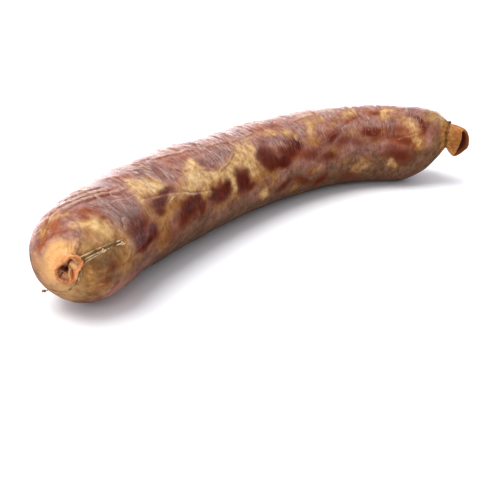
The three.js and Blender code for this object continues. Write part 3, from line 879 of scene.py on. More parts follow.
@dataclass
class Rings:
    """Rings of one zone: place along, offsets to the front side, up and ahead in mm, and tones."""

    along: Array
    aside: Array
    upward: Array
    ahead: Array
    tones: dict[Tone, Array] = field(default_factory=dict)


def closed_outline(angles: Array, values: Array, wanted: Array) -> Array:
    """A closed outline through knots given by their angles, its corners rounded by a narrow bell.

    Args:
        angles: the knots' angles in degrees, rising, within one turn.
        values: the outline's value at each knot.
        wanted: the angles to read it at, 0 to 360 degrees.

    Returns:
        The outline's value at each wanted angle.
    """
    fine = np.linspace(-180, 540, 721)
    line = np.interp(fine, np.concatenate([angles - 360, angles, angles + 360]), np.tile(values, 3))
    bell = np.exp(-(np.linspace(-2, 2, 13) ** 2))
    return np.interp(wanted, fine, np.convolve(line, bell / bell.sum(), mode="same"))


@dataclass(frozen=True)
class Pucker:
    """The gathered opening in the rounded end: its hollow, the rolled lip and the way to the dome.

    Its places are seen head-on: x towards the front side, y up, heights above the dome's tip. In mm.
    """

    skin: PlainSkin
    # The lip's crest, from the hollow's middle: (around, distance from there, height over the dome)
    lip_crest: tuple[tuple[float, float, float], ...] = (
        (-47, 4.4, 1.7), (-28, 4.0, 1.8), (-7, 4.7, 2.1), (13, 7.2, 2.6), (25, 8.5, 2.9), (41, 9.3, 3.1),
        (60, 8.4, 3.1), (77, 5.8, 3.0), (95, 4.1, 2.8), (112, 4.2, 2.8), (134, 4.7, 2.8), (167, 6.1, 2.6),
        (198, 6.8, 2.2), (215, 7.6, 1.9), (230, 8.0, 1.7), (247, 7.1, 1.4), (261, 6.7, 1.3), (281, 5.6, 1.4),
        (297, 4.9, 1.6),
    )
    hollow_middle: tuple[float, float] = (-0.6, -0.6)
    hollow_rings: int = 30
    floor_height: float = 1.2
    floor_drop: float = 2.1
    # the last number of each pressed form here is the painted shade in it
    hole: Dent = Dent((-2.7, -0.6), (1.5, 1.2), 0.0, 3.6, 1.0)
    side_hollow: Dent = Dent((-5.0, 0.3), (2.4, 1.1), 12.0, 1.5, 0.9)
    gap: Furrow = Furrow(((-2.4, 0.2), (-1.2, 2.0), (0.1, 4.2), (1.8, 5.6)), 0.6, 1.0, 0.85)
    slit: Furrow = Furrow(((-4.6, -2.6), (-6.2, -4.8)), 0.35, 0.8, 0.8)
    channel: Furrow = Furrow(((1.3, -0.6), (0.9, -3.0), (1.3, -5.4)), 0.4, 0.7, 0.5)
    bead: Dent = Dent((2.2, 2.3), (2.0, 2.4), 25.0)
    bead_height: float = 2.3
    fold: Furrow = Furrow(((-0.1, -0.2), (-0.7, -2.8), (0.0, -6.0)), 0.75)
    fold_height: float = 1.7
    pale_floor: Dent = Dent((-3.8, -4.4), (3.4, 2.8))
    # a spot of painted shade on the hollow's floor
    painted_shade_spot: Dent = Dent((-4.6, 0.9), (3.6, 2.2), 12.0)
    lip_thickness: float = 0.62
    lip_roll_deg: tuple[float, ...] = (40.0, 85.0, 130.0, 170.0)
    way_rings: int = 14
    open_towards_deg: float = 88.0
    groove_radius: float = 6.4
    groove_depth: float = 0.9
    groove_share: float = 0.4
    open_radius: float = 10.6
    merged_radius: float = 12.5

    def dome_level(self, radius: Array) -> Array:
        """Height of the dome over its tip at a distance from the middle line; never above zero."""
        share = np.clip(radius / self.skin.dome_radius, 0.0, 1.0)
        return self.skin.line.dome_length * (np.sqrt(1.0 - share**2) - 1.0)

    def rings(self, around: Array) -> Rings:
        """Join the rings of the hollow, the lip and the way down, from the hollow's middle outwards.

        Args:
            around: the angles of a ring's points, in degrees.

        Returns:
            The rings with their tones.
        """
        angle = np.radians(around)
        open_side = smooth(np.cos(angle - np.radians(self.open_towards_deg)), -0.25, 0.75)
        x, y, height, crest, tones = self.hollow(around, open_side)
        # over the lip: half a turn of a small circle
        roll = np.radians(np.array(self.lip_roll_deg))[:, None]
        reach = self.lip_thickness * (1.0 - np.cos(roll))
        over_x, over_y = x[-1] + reach * np.sin(angle), y[-1] + reach * np.cos(angle)
        over_height = crest + 0.8 * self.lip_thickness * np.sin(roll)
        way_x, way_y, way_height, way_tones = self.way_down(
            angle, open_side, over_x[-1], over_y[-1], over_height[-1]
        )
        over_tones = {Tone.LIP: 0.5 + 0.5 * open_side + 0.0 * over_x}
        zones = ((tones, x), (over_tones, over_x), (way_tones, way_x))
        joined = {
            tone: np.concatenate([own.get(tone, np.zeros_like(like)) for own, like in zones]) for tone in Tone
        }
        along = -self.skin.line.dome_length - np.concatenate([height, over_height, way_height])
        x, y = np.concatenate([x, over_x, way_x]), np.concatenate([y, over_y, way_y])
        return Rings(along, x, y, np.zeros_like(x), joined)

    def hollow(self, around: Array, open_side: Array) -> tuple[Array, Array, Array, Array, dict[Tone, Array]]:
        """Rings that grow from the hollow's middle to the lip's crest.

        The floor lies a little under the crest, with a deep hole, a side hollow, a gap, a slit and a
        channel pressed in, and a bead of fat and a fold raised. All of it fades towards the crest.

        Args:
            around: the angles of a ring's points, in degrees.
            open_side: 1 where the lip stands free of the dome, 0 where it runs into it.

        Returns:
            x, y and height of the rings, the height of the crest, and the tones.
        """
        angle = np.radians(around)
        knots = np.array(self.lip_crest)
        knots = knots[np.argsort(knots[:, 0])]
        outline, rise = (closed_outline(knots[:, 0], knots[:, i], around) for i in (1, 2))
        pleats = 0.16 * np.cos(19 * angle + 2 * np.cos(2 * angle)) + 0.1 * np.cos(31 * angle + 1.0)
        share = np.linspace(0.03, 1.0, self.hollow_rings)[:, None]
        x = self.hollow_middle[0] + (outline + pleats) * share * np.sin(angle)
        y = self.hollow_middle[1] + (outline + pleats) * share * np.cos(angle)
        crest = self.dome_level(np.hypot(x[-1], y[-1])) + rise
        height = crest * smooth(share) + self.floor_height * (1.0 - smooth(share))
        height = height - self.floor_drop * (1.0 - smooth(share, 0.72, 1.0))
        inward = smooth(1.0 - share, 0.0, 0.25)
        pressed = (self.hole, self.side_hollow, self.gap, self.slit, self.channel)
        covers = [form.cover(x, y) for form in pressed]
        bead, fold = self.bead.cover(x, y) ** 0.5, self.fold.cover(x, y)
        height = height - inward * sum(form.depth * cover for form, cover in zip(pressed, covers))
        height = height + inward * (self.bead_height * bead * (1 - covers[0]) + self.fold_height * fold)
        height = height + 0.18 * inward * np.cos(1.9 * x + 2.6 * y)
        # tones: painted shade where pressed in and in one shaded spot, peach and mauve floor, orange rim, one
        # pale bead
        dark = np.maximum.reduce([form.dark * cover for form, cover in zip(pressed, covers)]) * inward
        rim = smooth(share, 0.8, 0.94) + 0.0 * x
        low, painted_shade_spot = ((1.0 - rim) * form.cover(x, y) for form in (self.pale_floor, self.painted_shade_spot))
        clear = (1.0 - np.clip(bead + fold + low, 0.0, 1.0)) * smooth(x, -3.0, 1.5)
        tones = {
            Tone.LIP: np.maximum(0.95 * rim * (0.6 + 0.4 * open_side), 0.3 + 0.6 * clear),
            Tone.MAROON: 0.6 * (1.0 - open_side) * np.exp(-(((share - 0.9) / 0.06) ** 2)),
            Tone.HOLLOW_SHADE: np.maximum(dark, 0.8 * painted_shade_spot),
            Tone.FAT: smooth(bead, 0.45, 0.75) * inward,
            Tone.PEACH: np.maximum(fold * inward, 0.45 * low),
            Tone.MAUVE: low,
        }
        return x, y, height, crest, tones

    def way_down(
        self, angle: Array, open_side: Array, start_x: Array, start_y: Array, start_height: Array
    ) -> tuple[Array, Array, Array, dict[Tone, Array]]:
        """Rings from the lip to the dome, mixed from a straight path and one through the twine's groove.

        Args:
            angle: the angles of a ring's points, in radians.
            open_side: the share of the path through the groove.
            start_x: x of the last ring of the lip.
            start_y: y of the last ring of the lip.
            start_height: height of the last ring of the lip.

        Returns:
            x, y and height of the rings, and their tones.
        """
        t = np.linspace(0.07, 1.0, self.way_rings)[:, None]
        end_radius = self.merged_radius + (self.open_radius - self.merged_radius) * open_side
        end_height = self.dome_level(end_radius)
        start_radius = np.hypot(start_x, start_y)
        deepest = np.minimum(start_radius - self.groove_depth, self.groove_radius)
        inwards = start_radius + (deepest - start_radius) * smooth(t / self.groove_share)
        outwards = deepest + (end_radius - deepest) * smooth((t - 0.45) / 0.55)
        radius = np.where(t < 0.45, inwards, outwards)
        lag = (np.arctan2(start_x, start_y) - angle + np.pi) % (2 * np.pi) - np.pi
        turned_angle = angle + lag * (1.0 - smooth(t))
        straight = t**0.75
        x = start_x + (end_radius * np.sin(angle) - start_x) * straight
        y = start_y + (end_radius * np.cos(angle) - start_y) * straight
        x = x + (radius * np.sin(turned_angle) - x) * open_side
        y = y + (radius * np.cos(turned_angle) - y) * open_side
        shut = start_height + (end_height - start_height) * smooth(t) ** 0.7
        free = start_height + (end_height - start_height) * np.minimum(1.25 * t**0.8, 1.0)
        tones = {
            Tone.LIP: 0.9 * (1.0 - smooth(t, 0.0, 0.4)) * (0.25 + 0.75 * open_side),
            # painted shade in the twine's groove under the lip
            Tone.HOLLOW_SHADE: 0.9 * open_side * np.exp(-(((t - self.groove_share) / 0.16) ** 2)),
        }
        return x, y, shut + (free - shut) * open_side, tones


@dataclass(frozen=True)
class Tail:
    """The short, open tail of empty casing beyond the neck. Sizes in mm."""

    skin: PlainSkin
    mouth_radius: float = 11.9
    flatness: float = 0.62
    wall: float = 2.1
    mouth_depth: float = 8.0
    mouth_slant: float = 3.1
    side_reach: float = 4.6
    underside_reach: float = 5.0
    flare_power: float = 0.6
    neck_width: float = 1.6
    outer_rings: int = 20
    inner_rings: int = 16
    # the rounded rim: how far each of its rings reaches past the mouth, and its share of the way inside
    rim_rings: tuple[tuple[float, float], ...] = ((0.45, 0.2), (0.6, 0.5), (0.45, 0.8))

    def rings(self, around: Array) -> Rings:
        """Rings outside from the neck, over the rim, and inside down to the floor.

        The radius grows from the neck's to the mouth's as a power of the share of the length. The ring
        is pressed together from front to back, and its plane bends so that the sides and underside
        reach on. Folds are a sum of cosines of the angle.

        Args:
            around: the angles of a ring's points, in degrees.

        Returns:
            The rings with their tones.
        """
        line, angle = self.skin.line, np.radians(around)
        rim_reach, rim_share = np.array(self.rim_rings).T
        outside = np.linspace(0.5, line.tail_length, self.outer_rings)
        inside = np.linspace(line.tail_length, line.tail_length - self.mouth_depth, self.inner_rings)
        reach = np.concatenate([outside, line.tail_length + rim_reach, inside])[:, None]
        inner_share = np.concatenate([0.0 * outside, rim_share, 0.0 * inside + 1.0])[:, None]
        share = np.clip(reach / line.tail_length, 0.0, 1.0)
        flare = np.clip((reach - self.neck_width) / (line.tail_length - self.neck_width), 0.0, 1.0)
        outer = self.skin.neck_radius + (self.mouth_radius - self.skin.neck_radius) * flare**self.flare_power
        down = np.clip((line.tail_length - reach) / self.mouth_depth, 0.0, 1.0)
        inner = (self.mouth_radius - self.wall) * (1.0 - 0.85 * down**1.6)
        folds = 0.05 * np.cos(3 * angle + 2) + 0.025 * np.cos(7 * angle) + 0.01 * np.cos(13 * angle + 1)
        pleats = 0.035 * np.cos(17 * angle + 2 * np.cos(3 * angle)) * (1.0 - share)
        radius = (outer + (inner - outer) * inner_share) * (1.0 + folds * share + pleats)
        flat = 1.0 - (1.0 - self.flatness) * smooth(share)
        bend = self.side_reach * np.sin(angle) ** 2 - self.mouth_slant * np.sin(angle)
        bend = bend + self.underside_reach * (1.0 - np.cos(angle)) / 2
        wavy = 0.22 * np.cos(5 * angle + 1.0) + 0.1 * np.cos(11 * angle)
        tones = self.tones(angle, reach, share, inner_share, down)
        along = line.body_length + reach + np.zeros_like(angle)
        return Rings(
            along, flat * radius * np.sin(angle), radius * np.cos(angle), (bend + wavy) * share**2, tones
        )

    def tones(
        self, angle: Array, reach: Array, share: Array, inner_share: Array, down: Array
    ) -> dict[Tone, Array]:
        """Tan outside with rust-brown stains, browner below, dark red inside, with painted shade deep in the
        mouth.

        Args:
            angle: the angles of a ring's points, in radians.
            reach: each ring's distance from the neck.
            share: each ring's share of the tail's length.
            inner_share: 0 for rings outside, 1 inside, between them on the rim.
            down: each inner ring's share of the mouth's depth.

        Returns:
            The tones of all rings' points.
        """
        spread = 3.4  # mm, radius of the cylinder that the stains' noise is read on
        places = np.broadcast_arrays(reach / 4, spread * np.cos(angle), spread * np.sin(angle))
        dark = inner_share * smooth(0.1 + down, 0.0, 0.5) + 0.0 * angle
        stain = smooth(LatticeNoise(41).layers(np.stack(places, -1), 3), 0.42, 0.75) * (1.0 - dark)
        rim = np.exp(-(((inner_share - 0.5) / 0.5) ** 2)) * smooth(share, 0.9, 1.0)
        within = smooth(inner_share, 0.4, 1.0) + 0.0 * angle
        below = smooth(-np.cos(angle), 0.1, 0.9) * (1.0 - within)
        return {
            Tone.LIP: (0.34 + 0.2 * rim) * (1.0 - 0.7 * stain) * (1.0 - within),
            # painted shade deep in the mouth
            Tone.HOLLOW_SHADE: within * smooth(down, 0.04, 0.24),
            Tone.OCHRE: np.ones_like(dark),
            Tone.RUST: np.maximum(0.7 * stain, 0.5 * below),
            Tone.MAROON: np.maximum(0.32 * stain, within * (0.5 + 0.5 * smooth(down, 0.05, 0.2))),
        }


@dataclass(frozen=True)
class FineRelief:
    """Ripples, lumps and gathers of the casing, low relief over its whole length. Sizes in mm."""

    skin: PlainSkin
    ripple_height: float = 1.4
    ripple_cell: tuple[float, float, float] = (3.4, 16.0, 16.0)  # lengthwise, and round the girth
    ripple_lean: float = 0.35
    lump_height: float = 0.8
    lump_cell: float = 13.0
    pimple_height: float = 0.22
    pimple_cell: float = 2.6
    pleat_height: float = 0.42
    gather_height: float = 0.4

    def height(self, along: Array, around: Array) -> Array:
        """Height of the relief at each place.

        The ripples are ridged noise, stretched round the girth and strongest on top. Pleats and gathers
        are cosines of the angle that grow towards the neck and the pucker.

        Args:
            along: places along the sausage.
            around: the angles of a ring's points, in degrees.

        Returns:
            The height at each place.
        """
        angle, line = np.radians(around), self.skin.line
        radius = self.skin.radius(along)
        straight = np.stack([along + 0 * angle, radius * np.cos(angle), radius * np.sin(angle)], -1)
        lean = straight + np.stack([self.ripple_lean * straight[..., 1], 0 * along, 0 * along], -1)
        ripples = 1.0 - np.abs(2.0 * LatticeNoise(3).layers(lean / np.array(self.ripple_cell), 2) - 1.0)
        strength = 0.25 + 0.75 * np.exp(-((turned(around, -20) / 55.0) ** 2))
        strength = strength * smooth(LatticeNoise(4).at(straight / 26.0), 0.25, 0.75)
        height = self.ripple_height * (ripples - 0.6) * strength
        height += self.lump_height * (LatticeNoise(5).layers(straight / self.lump_cell, 2) - 0.5)
        height += self.pimple_height * (LatticeNoise(6).layers(straight / self.pimple_cell, 2) - 0.5)
        pleats = np.cos(23 * angle + 2.5 * np.cos(2 * angle) + along / 40.0) + 0.6 * np.cos(11 * angle + 1.0)
        height += self.pleat_height * pleats * line.taper_share(along) ** 5
        gathers = np.cos(46 * angle + 3.0 * np.cos(3 * angle)) * np.exp(-((turned(around, -8) / 50.0) ** 2))
        return height + self.gather_height * gathers * smooth(-along / line.dome_length, 0.8, 1.0)


@dataclass
class Casing:
    """The sausage's skin as one closed mesh, from the pucker's floor to the floor of the tail's mouth."""

    skin: PlainSkin
    points_around: int = 240
    dome_rings: int = 32
    body_rings: int = 262
    bare_rings: int = 32  # the hollow and the top of the lip: patches of the body stop short of them
    way_fade: int = 8  # rings over which the relief fades out towards the pucker
    tail_fade: int = 12

    def ring_places(self) -> Array:
        """Where the rings of the dome and the body stand along the line: close at the rounded end.

        Returns:
            The places along, rising.
        """
        line = self.skin.line
        first = np.arcsin((Pucker.merged_radius + 0.6) / self.skin.dome_radius)
        dome = -line.dome_length * np.cos(np.linspace(first, np.pi / 2, self.dome_rings, endpoint=False))
        body = np.cumsum(1.0 + 0.55 * smooth(np.linspace(0, 1, self.body_rings)))
        body = np.concatenate([[0.0], body])
        return np.concatenate([dome, body / body[-1] * (line.body_length - 0.8)])

    def build(self, skin_map: SkinMap) -> bpy.types.Object:
        """Work out the whole skin, press the fine relief into it and make the mesh with its tones.

        Args:
            skin_map: where creases and patches lie.

        Returns:
            The finished piece.
        """
        around = np.arange(self.points_around) * 360.0 / self.points_around
        angle = np.radians(around)
        along = self.ring_places()[:, None] + np.zeros_like(around)
        radius = self.skin.radius(along) + self.skin.relief(along, np.broadcast_to(around, along.shape))
        body = Rings(along, radius * np.sin(angle), radius * np.cos(angle), np.zeros_like(along))
        zones = (Pucker(self.skin).rings(around), body, Tail(self.skin).rings(around))
        skin = Rings(
            *(
                np.concatenate([getattr(zone, name) for zone in zones])
                for name in ("along", "aside", "upward", "ahead")
            )
        )
        for tone in Tone:
            skin.tones[tone] = np.concatenate(
                [zone.tones.get(tone, np.zeros_like(zone.along)) for zone in zones]
            )
        skin.tones[Tone.OCHRE][-len(zones[2].along) - 2 :] = 1.0
        outside = self.outside_share(*(len(zone.along) for zone in zones))
        points = self.skin.place(skin.along, skin.aside, skin.upward, skin.ahead)
        points = self.with_relief(points, skin, around, outside, skin_map)
        return self.mesh(points, skin, skin_map)

    def outside_share(self, pucker: int, body: int, tail: int) -> Array:
        """1 for the rings of dome and body, fading over the pucker's outside and the tail.

        Args:
            pucker: how many rings the pucker has.
            body: how many rings dome and body have.
            tail: how many rings the tail has.

        Returns:
            The share of each ring, as one column.
        """
        share = np.concatenate([np.zeros(pucker), np.ones(body), np.zeros(tail)])
        share[pucker - self.way_fade : pucker] = np.linspace(0.0, 1.0, self.way_fade)
        share[pucker + body : pucker + body + self.tail_fade] = np.linspace(1.0, 0.3, self.tail_fade)
        return share[:, None]

    def normals(self, points: Array) -> Array:
        """Outward directions of the grid: the cross product of its two running differences."""
        girth = np.roll(points, -1, axis=1) - np.roll(points, 1, axis=1)
        return unit(np.cross(girth, np.gradient(points, axis=0)))

    def with_relief(
        self, points: Array, skin: Rings, around: Array, outside: Array, skin_map: SkinMap
    ) -> Array:
        """Move the points outwards by creases and fine relief, and add the creases' painted groove shade and
        painted lip highlight.

        Near the floor the relief fades, so that the flat underside stays flat.

        Args:
            points: the skin's points.
            skin: all rings; their tones take the creases' painted shade and painted highlight.
            around: the angles of a ring's points, in degrees.
            outside: the share of the relief that each ring takes.
            skin_map: where the creases lie.

        Returns:
            The moved points.
        """
        places = points.reshape(-1, 3)
        crease, dark, pale = (values.reshape(skin.along.shape) for values in skin_map.pressed(places))
        # painted shade in the creases' grooves, painted highlight on their lips
        skin.tones[Tone.CREASE], skin.tones[Tone.RIDGE_HIGHLIGHT] = dark * outside, pale * outside
        height = (FineRelief(self.skin).height(skin.along, around) + crease) * outside
        clear = smooth(points[..., 2], 0.05, 2.5)
        moved = points + self.normals(points) * (height * clear)[..., None]
        moved[..., 2] = np.maximum(moved[..., 2], 0.0)
        return moved

    def mesh(self, points: Array, skin: Rings, skin_map: SkinMap) -> bpy.types.Object:
        """Join the rings into a closed mesh and store the tones and the straightened place on it.

        Args:
            points: the skin's points, ring by ring.
            skin: all rings with their tones.
            skin_map: where the patches lie.

        Returns:
            The piece, with one attribute for each tone and `skin_place` in metres.
        """
        count, size = points.shape[:2]
        ends = np.stack([points[0].mean(0), points[-1].mean(0)])
        everything = np.concatenate([points.reshape(-1, 3), ends])
        ids = np.arange(count * size).reshape(count, size)
        after = np.roll(ids, -1, axis=1)
        quads = np.stack([ids[:-1], after[:-1], after[1:], ids[1:]], -1).reshape(-1, 4)
        first = [(count * size, b, a) for a, b in zip(ids[0], after[0])]
        last = [(count * size + 1, a, b) for a, b in zip(ids[-1], after[-1])]
        piece = new_mesh("casing", everything, [*quads.tolist(), *first, *last])
        cover = skin_map.tones(everything)
        self.zone_tones(cover, everything, skin)
        ring = np.append(np.repeat(np.arange(count), size), [0, count - 1])
        for tone, own in skin.tones.items():
            body = np.where(ring < self.bare_rings, 0.0, cover[tone])
            flat = own.reshape(-1)
            values = np.maximum(body, np.concatenate([flat, flat[[0, -1]]]))
            layer = piece.data.attributes.new(tone.value, "FLOAT", "POINT")
            layer.data.foreach_set("value", np.clip(values, 0.0, 1.0).astype(np.float32))
        straight = np.stack([skin.along, skin.aside, skin.upward], -1).reshape(-1, 3)
        straight = np.concatenate([straight, straight[[0, -1]]]) * MM
        layer = piece.data.attributes.new("skin_place", "FLOAT_VECTOR", "POINT")
        layer.data.foreach_set("vector", straight.astype(np.float32).ravel())
        return piece

    def zone_tones(self, cover: dict[Tone, Array], everything: Array, skin: Rings) -> None:
        """Add the tones of whole zones: peach and orange round the pucker, olive, and the brown underside, which
        is painted shade.

        Args:
            cover: the tones of each point, added to.
            everything: the mesh's points, with the two poles at the end.
            skin: all rings.
        """
        along = np.append(skin.along.reshape(-1), [skin.along[0, 0], skin.along[-1, 0]])
        x, y = (
            np.append(offset.reshape(-1), [offset[0].mean(), offset[-1].mean()])
            for offset in (skin.aside, skin.upward)
        )
        angle, radius = np.arctan2(x, y), np.hypot(x, y)
        around = np.degrees(angle)
        noise = LatticeNoise(31).layers(everything / 9.0, 3) - 0.5
        tip = smooth(-along, 12.0, 22.0)
        wander = around + 60.0 * noise
        left = smooth(wander, 38.0, 18.0) * smooth(wander, -170.0, -110.0)
        low_left = smooth(np.cos(np.radians(turned(around, -125.0))), 0.2, 0.8)
        gathers = np.abs(np.cos(17 * angle + 1.5 * np.cos(3 * angle))) ** 3
        gathers = gathers * smooth(np.cos(angle + 0.6), -0.2, 0.6)
        low = np.abs(around) + 50 * noise + 12.0 * smooth(along, 180.0, 260.0)

        def within(wobble: float, full: float, none: float) -> Array:
            """1 round the pucker up to the radius `full`, 0 from `none` on, with a wobbling edge."""
            return tip * (1.0 - smooth(radius + wobble * noise, full, none))

        zones = (
            (Tone.LIP, (0.55 + 0.35 * gathers) * (0.1 + 0.9 * left) * within(4.0, 5.0, 13.0)),
            (Tone.LIP, 0.5 * gathers * within(6.0, 9.0, 17.0)),
            (Tone.OLIVE, 0.8 * (1.0 - left) * within(8.0, 22.0, 28.0)),
            (Tone.PEACH, np.maximum(left * within(7.0, 8.0, 21.0), 0.44 * low_left * tip)),
            # painted shade: brown over the low flank and underside
            (Tone.BROWN, smooth(low, 74.0, 118.0) * smooth(along, -10.0, 60.0)),
        )
        for tone, share in zones:
            cover[tone] = np.maximum(cover[tone], share)


# ------------------------------------------------------------------ twine


@dataclass
class Twine:
    """Twine twisted from three plies, laid on points in mm."""

    radius: float = 0.42
    plies: int = 3
    twist_pitch: float = 2.9  # mm of length for one full turn
    section_step: float = 0.4
    sides: int = 7

    def spline(self, knots: Array, closed: bool = False) -> Array:
        """Walk a smooth curve through knots: cubics whose slope at a knot is that between its neighbours.

        Args:
            knots: the places that the curve passes.
            closed: whether it returns to the first.

        Returns:
            Points at even steps along it.
        """
        if closed:
            padded = np.concatenate([knots[-1:], knots, knots[:2]])
        else:
            padded = np.concatenate([2 * knots[:1] - knots[1:2], knots, 2 * knots[-1:] - knots[-2:-1]])
        pieces = []
        t = np.linspace(0, 1, 24, endpoint=False)[:, None]
        for p0, p1, p2, p3 in zip(padded[:-3], padded[1:-2], padded[2:-1], padded[3:]):
            bend = 2 * p0 - 5 * p1 + 4 * p2 - p3
            twist = 3 * p1 - p0 - 3 * p2 + p3
            pieces.append(0.5 * (2 * p1 + (p2 - p0) * t + bend * t**2 + twist * t**3))
        dense = np.concatenate([*pieces, padded[-2:-1]])
        length = np.concatenate([[0], np.cumsum(np.linalg.norm(np.diff(dense, axis=0), axis=1))])
        marks = np.linspace(0, length[-1], max(int(length[-1] / self.section_step), 8))
        return np.stack([np.interp(marks, length, dense[:, i]) for i in range(3)], -1)

    def tube(self, path: Array, radius: Array | float) -> tuple[Array, Array]:
        """A closed tube: circles in planes square to the path, kept from spinning, with capped ends.

        Args:
            path: the points that it follows.
            radius: one radius, or one for each point.

        Returns:
            The tube's points and triangles.
        """
        tangent = unit(np.gradient(path, axis=0))
        normal = np.zeros_like(path)
        normal[0] = unit(np.cross(tangent[0], [0.3, 0.2, 1.0]))
        for i in range(1, len(path)):  # carried from section to section, each from the last
            normal[i] = unit(normal[i - 1] - tangent[i] * (normal[i - 1] @ tangent[i]))
        other = np.cross(tangent, normal)
        angle = np.linspace(0, 2 * np.pi, self.sides, endpoint=False)[None, :, None]
        r = np.broadcast_to(radius, len(path))[:, None, None]
        circle = normal[:, None] * np.cos(angle) + other[:, None] * np.sin(angle)
        points = np.concatenate([(path[:, None] + r * circle).reshape(-1, 3), path[[0, -1]]])
        ids = np.arange(len(path) * self.sides).reshape(len(path), self.sides)
        after = np.roll(ids, -1, axis=1)
        a, b, c, d = ids[:-1].ravel(), after[:-1].ravel(), after[1:].ravel(), ids[1:].ravel()
        sides = np.concatenate([np.stack([a, b, c], -1), np.stack([a, c, d], -1)])
        low = np.stack([np.full(self.sides, len(points) - 2), after[0], ids[0]], -1)
        high = np.stack([np.full(self.sides, len(points) - 1), ids[-1], after[-1]], -1)
        return points, np.concatenate([sides, low, high])

    def strand(self, path: Array) -> tuple[Array, Array]:
        """Three plies that wind round the path, each a tube a little over half the twine's radius.

        Args:
            path: points at even steps.

        Returns:
            Points and triangles.
        """
        tangent = unit(np.gradient(path, axis=0))
        side = unit(np.cross(tangent, [0.1, 0.2, 1.0]))
        other = np.cross(tangent, side)
        length = np.concatenate([[0], np.cumsum(np.linalg.norm(np.diff(path, axis=0), axis=1))])
        made = []
        for ply in range(self.plies):
            turn = 2 * np.pi * (length / self.twist_pitch + ply / self.plies)
            offset = side * np.cos(turn)[:, None] + other * np.sin(turn)[:, None]
            made.append(self.tube(path + 0.5 * self.radius * offset, 0.54 * self.radius))
        return self.joined(made)

    def knot(self, centre: Array, size: float, tilt: Array) -> tuple[Array, Array]:
        """A small overhand knot: a closed trefoil, sums of sines of one angle and of twice and thrice it.

        Args:
            centre: its middle.
            size: its radius.
            tilt: the direction that it lies square to.

        Returns:
            Points and triangles.
        """
        t = np.linspace(0, 2 * np.pi, 40, endpoint=False)
        loop = [np.sin(t) + 2 * np.sin(2 * t), np.cos(t) - 2 * np.cos(2 * t), -1.3 * np.sin(3 * t)]
        axis = unit(tilt)
        first = unit(np.cross(axis, [0.2, 1.0, 0.4]))
        frame = np.stack([first, np.cross(axis, first), axis])
        path = centre + (np.stack(loop, -1) / 3.0 * size) @ frame
        return self.tube(np.concatenate([path, path[:1]]), self.radius * 0.92)

    def fray(
        self, start: Array, direction: Array, seed: int, count: int = 7, reach: float = 2.6
    ) -> tuple[Array, Array]:
        """Loose fibres at a cut end: thin tubes that spread from the start.

        Args:
            start: where they leave the twine.
            direction: the way that they point on the whole.
            seed: seed of their spread.
            count: how many.
            reach: how far the longest gets.

        Returns:
            Points and triangles.
        """
        draw = np.random.default_rng(seed)
        made = []
        for _ in range(count):
            spread = unit(direction) + 0.55 * draw.normal(size=3)
            ends = start + unit(spread) * reach * draw.uniform(0.5, 1.0)
            middle = (start + ends) / 2 + 0.25 * draw.normal(size=3)
            path = self.spline(np.stack([start, middle, ends]))
            made.append(self.tube(path, np.linspace(0.2, 0.07, len(path))))
        return self.joined(made)

    @staticmethod
    def joined(made: Sequence[tuple[Array, Array]]) -> tuple[Array, Array]:
        """Several meshes as one.

        Args:
            made: points and triangles of each.

        Returns:
            Points and triangles of all.
        """
        offsets = np.cumsum([0] + [len(points) for points, _ in made[:-1]])
        points = np.concatenate([points for points, _ in made])
        return points, np.concatenate([faces + offset for (_, faces), offset in zip(made, offsets)])


@dataclass
class LaidTwine(Twine):
    """Twine that lies on the finished casing."""

    casing: bpy.types.Object | None = None
    skin: PlainSkin = PlainSkin()

    def skin_points(self) -> tuple[Array, Array]:
        """Read the finished casing.

        Returns:
            Its points in mm, and its normals.
        """
        mesh = self.casing.data
        points = np.zeros(len(mesh.vertices) * 3, np.float32)
        mesh.vertices.foreach_get("co", points)
        normals = np.zeros(len(mesh.vertices) * 3, np.float32)
        mesh.vertex_normals.foreach_get("vector", normals)
        return points.reshape(-1, 3) / MM, normals.reshape(-1, 3)

    def laid(self, route: Route, lift: float | Sequence[float] = 0.5) -> Array:
        """Lay a route on the casing: each place goes to the plane of the nearest point of the skin.

        Args:
            route: places (along, around).
            lift: how far it stands off the skin, one for all or one for each place.

        Returns:
            The points.
        """
        points, normals = self.skin_points()
        wanted = self.skin.points(*np.array(route, float).T)
        nearest = np.array([np.argmin(((points - w) ** 2).sum(1)) for w in wanted])
        away, outward = points[nearest] - wanted, normals[nearest]
        lifts = np.broadcast_to(lift, len(wanted))[:, None]
        return wanted + outward * ((away * outward).sum(1, keepdims=True) + lifts)


